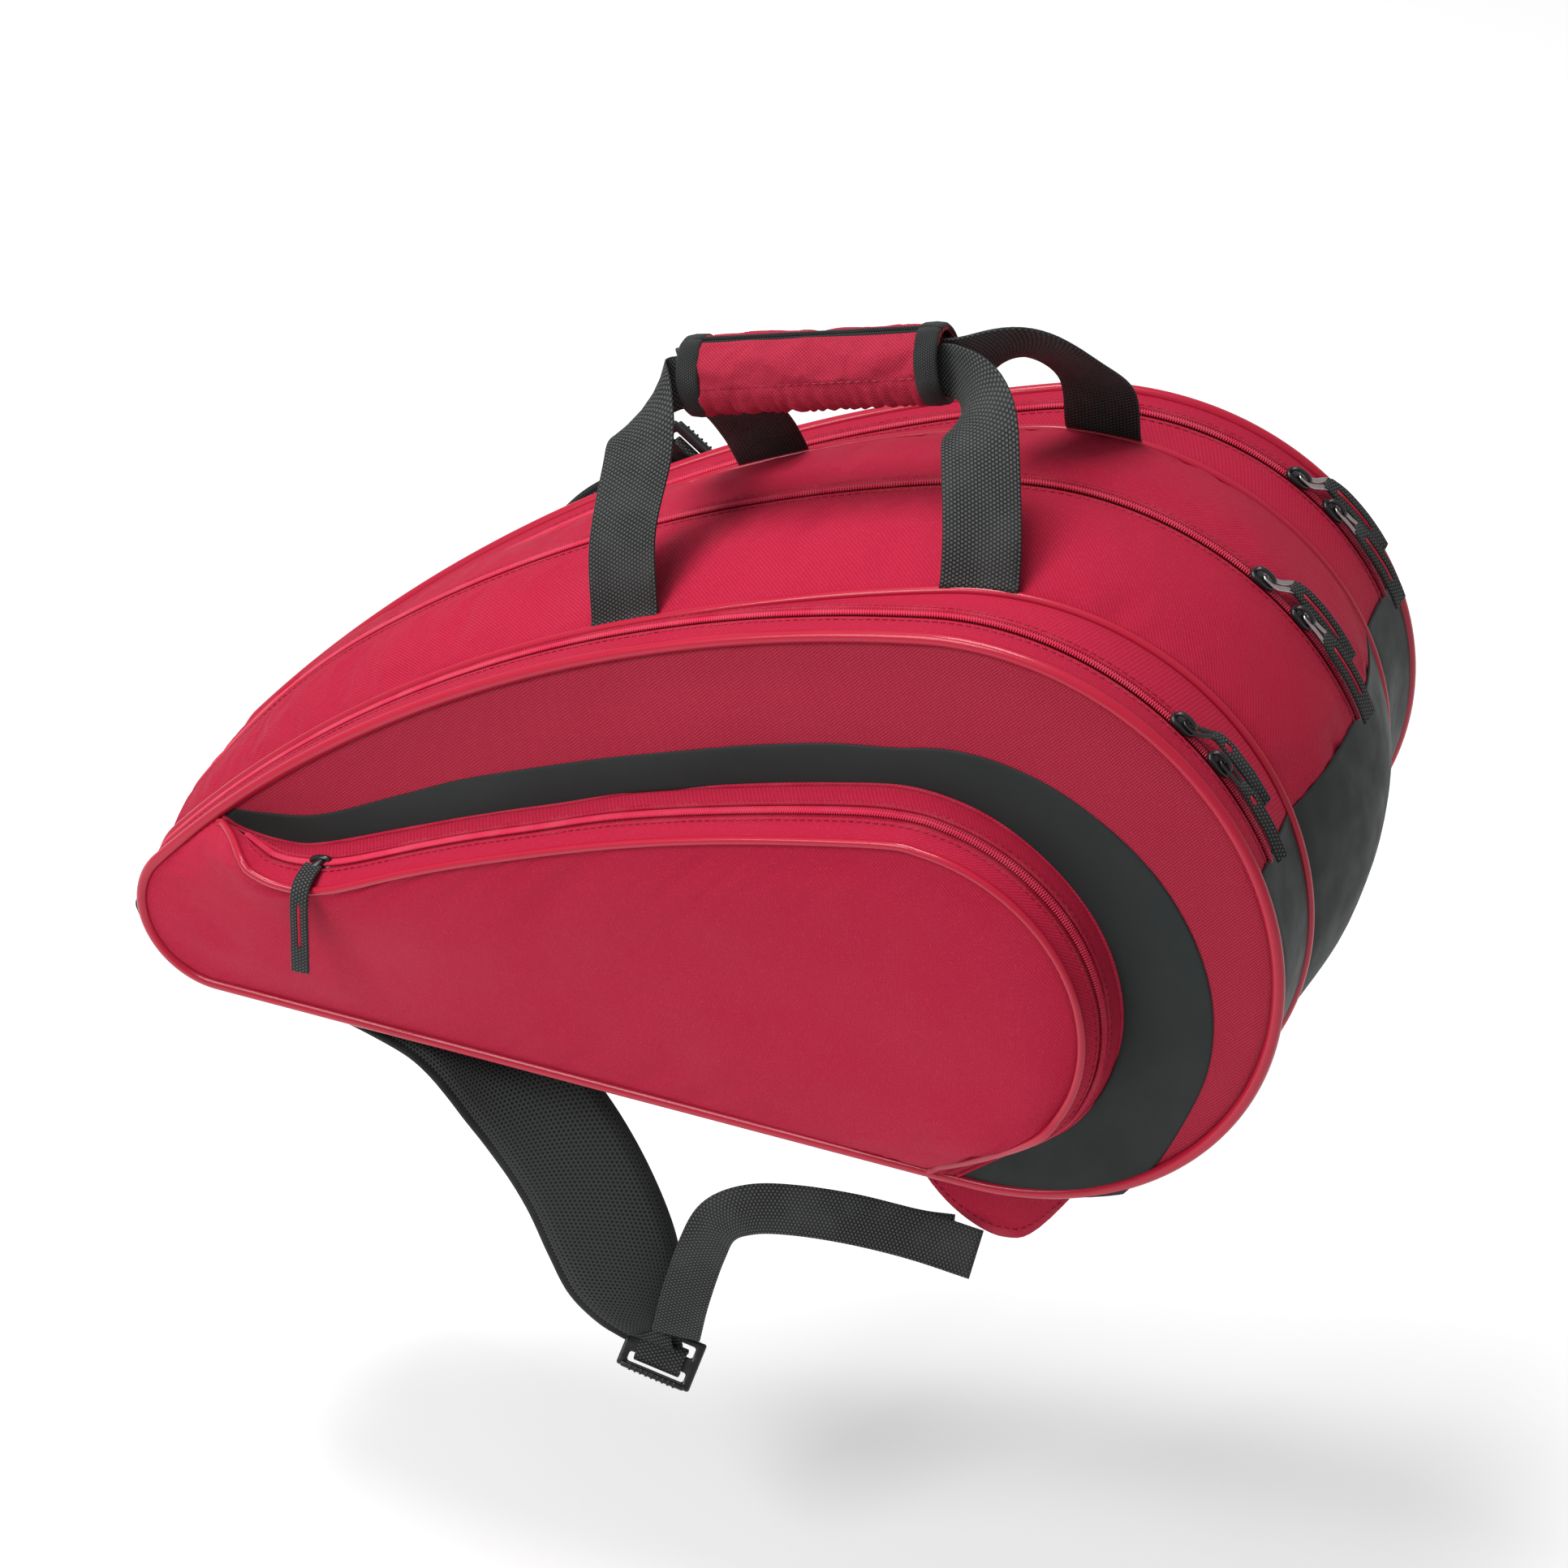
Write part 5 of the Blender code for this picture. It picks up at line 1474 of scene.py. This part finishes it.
FAR_FOLD = Vector((-222.0, 90.0, -371.5))        # where the far strap bends against its root
LEAN = (HALF_AT_END - HALF_AT_TIP) / (END_X - TIP_X)
REAR_OUT = Vector((-LEAN, 1.0, 0.0))             # the way the rear cover faces


def off_rear(x, z, out):
    """A place that stands off the rear cover."""
    return Vector((x, outer_half(x) + 1.0 + out, z))


def build_far_root():
    root = [(-262, 30, PAD_UNDER), (-250, 48, PAD_UNDER), (-236, 66, PAD_UNDER), (-227, 79, PAD_UNDER),
            (-223, 86.5, PAD_UNDER - 0.5)]
    ways = [(0.8, -0.6, 0.0), (0.8, -0.6, 0.0), (0.84, -0.54, 0.0), (0.92, -0.39, 0.0), (0.98, -0.18, 0.0)]
    pad, *edges = padded_strap("far_pad_root_cloth", root, ways, [40.0, 52.0, 54.0, 54.0, 54.0])
    belongs(pad, "bag", ["far_pad_root"])
    pad_bindings("far_root_binding", *edges, lambda edge: belongs(edge, "bag"))


def build_far_strap():
    build_far_root()
    out = PAD_T / 2.0 + 5.6
    spots = [(-219, -362), (-212, -332), (-198, -292), (-178, -246), (-154, -202), (-134, -170), (-118, -148),
             (-112, -141)]
    route = [FAR_FOLD] + [off_rear(x, z, out) for x, z in spots]
    widths = [54.0, 54.0, 58.0, PAD_W, PAD_W, PAD_W, 56.0, 38.0, 27.0]
    pad, *edges = padded_strap("far_pad_cloth", route, sides_facing(route, -REAR_OUT), widths)
    belongs(pad, "far_strap", ["far_pad"])
    pad_bindings("far_pad_binding", *edges, lambda edge: belongs(edge, "far_strap"))
    lock = placed(off_rear(-101.2, -128.4, out), (0.76, 0.0, -0.65), REAR_OUT)
    belongs(ladder_lock("far_lock_body", lock), "far_lock", ["far_ladder_lock"])
    belongs(lock_webbing("far_lock_webbing", lock), "far_lock")
    line = [(-92, -146), (-74, -172), (-42, -212), (0, -262), (44, -308), (82, -342), (104, -364),
            (110, -371)]
    web = strap_webbing("far_webbing_cloth", [off_rear(x, z, 4.4) for x, z in line], -REAR_OUT)
    belongs(web, "far_strap", ["far_webbing"])


def build_near_tab():
    """The red tab under the front edge that the near strap's webbing is sewn to."""
    left, right = 66.0, 172.0
    low = curve_through([(left, -1.0), (85.0, -33.0), (104.0, -51.0), (123.0, -57.5), (140.0, -48.0),
                         (right, -1.0)], 5)
    for face, out in (("front", -1.0), ("rear", 1.0)):
        rows = []
        for p in low:
            top = Vector((mix(left, right, (p.x - left) / (right - left)), 2.0))
            row = []
            for t in [i / 9.0 for i in range(10)]:
                spot = top.lerp(p, t)
                y = -84.0 + out * (0.8 + 0.6 * math.sin(math.pi * t))
                row.append(Vector((spot.x, y, BASE_Z + spot.y)))
            rows.append(row)
        cloth = facing(grid("near_tab_" + face, rows, TWILL, uv=in_xz), -out * FORWARD)
        belongs(thicken(welded(cloth), 0.8), "bag", ["near_tab"])
    line = [Vector((p.x, -85.4, BASE_Z + p.y * 0.93 + 1.5)) for p in low[2:-2]]
    belongs(stitches("near_tab_stitches", line, [FORWARD] * len(line), RED_THREAD), "bag")


def build_small_tabs():
    """The far strap's flat tab under the base, and the loop at the narrow end."""
    along_y = Vector((0.0, 1.0, 0.0))
    flat = [Vector((x, 108.0, BASE_Z - 1.6)) for x in (88.0, 108.0, 128.0)]
    tab = ribbon("far_tab_cloth", flat, [along_y] * len(flat), 31.0, 1.9, TWILL)[0]
    belongs(tab, "bag", ["far_tab"])
    s = ARC_LENGTHS[0] + ARC_LENGTHS[1] + NARROW_R * math.radians(60.0)
    x, z, nx, nz = outline_at(s)
    loop = [(-2.0, -8.5), (3.0, -8.2), (5.3, -5.0), (5.6, 0.0), (5.3, 5.0), (3.0, 8.2), (-2.0, 8.5)]
    y = -outer_half(x) + 12.0
    points = [Vector((x + nx * n - nz * t, y, z + nz * n + nx * t)) for n, t in loop]
    ways = [along_y] * len(loop)
    tab = ribbon("narrow_end_tab_webbing", points, ways, 6.0, 1.4, TAB_WEBBING, spacing=1.2)[0]
    belongs(tab, "bag", ["narrow_end_tab"])


def line_inside():
    """The CAD nodes that keep their own shape get the lining's material."""
    for name in ("grip_core", "front_divider", "rear_divider"):
        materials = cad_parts[name].data.materials
        materials.clear()
        materials.append(LINING)


# ---------------------------------------------------------------- floor, light and camera

FLOOR_Z = -665.0
FLOOR_HALF = 12000.0
WORLD_LIGHT = 0.42
AREA_LIGHTS = (("key", (-1.15, -1.45, 1.35), 38.0), ("top", (-0.55, 0.15, 2.3), 58.0))     # metres, watts
LIGHT_SIZE = 1.1
CAMERA_TARGET = Vector((-0.017, 0.0, -0.236))
CAMERA_WAY = Vector((0.2452, -0.8020, 0.5446))
CAMERA_DISTANCE = 3.0
CAMERA_LENS = 139.75


def build_stage():
    look = Looks("pale_floor", 0.7, Specular_IOR_Level=0.2, Emission_Strength=0.22)
    look.shader.inputs["Emission Color"].default_value = (1.0, 1.0, 1.0, 1.0)
    shade = look.blend(look.noise(3.0, 3.0), (0.86, 0.86, 0.86), (0.90, 0.90, 0.90))
    look.finish(shade, look.bump(look.noise(200.0), 0.02))
    corners = [(FLOOR_HALF * x, FLOOR_HALF * y, FLOOR_Z) for x, y in ((-1, -1), (1, -1), (1, 1), (-1, 1))]
    floor = make_object("floor", corners, [(0, 1, 2, 3)], None, look.mat)
    world = bpy.data.worlds.new("studio")
    world.use_nodes = True
    background = world.node_tree.nodes["Background"].inputs
    background["Color"].default_value = (1.0, 1.0, 1.0, 1.0)
    background["Strength"].default_value = WORLD_LIGHT
    bpy.context.scene.world = world
    for name, place, power in AREA_LIGHTS:
        light = bpy.data.lights.new(name, "AREA")
        light.size = LIGHT_SIZE
        light.energy = power
        lamp = bpy.data.objects.new(name, light)
        lamp.location = place
        lamp.rotation_euler = (Vector(place) - CAMERA_TARGET).to_track_quat("Z", "Y").to_euler()
        bpy.context.scene.collection.objects.link(lamp)


def build_camera():
    camera = bpy.data.cameras.new("camera")
    camera.lens = CAMERA_LENS
    camera.sensor_width = 36.0
    holder = bpy.data.objects.new("camera", camera)
    holder.location = CAMERA_TARGET + CAMERA_WAY.normalized() * CAMERA_DISTANCE
    holder.rotation_euler = CAMERA_WAY.to_track_quat("Z", "Y").to_euler()
    bpy.context.scene.collection.objects.link(holder)
    bpy.context.scene.camera = holder
    bpy.context.scene.view_settings.view_transform = "Standard"


build_camera()
build_gussets()
build_pipings()
build_zips()
build_covers()
build_pocket()
build_sliders()
build_pocket_slider()
build_legs()
build_wrap()
build_near_strap()
build_far_strap()
build_near_tab()
build_small_tabs()
line_inside()
build_stage()

bpy.context.view_layer.update()
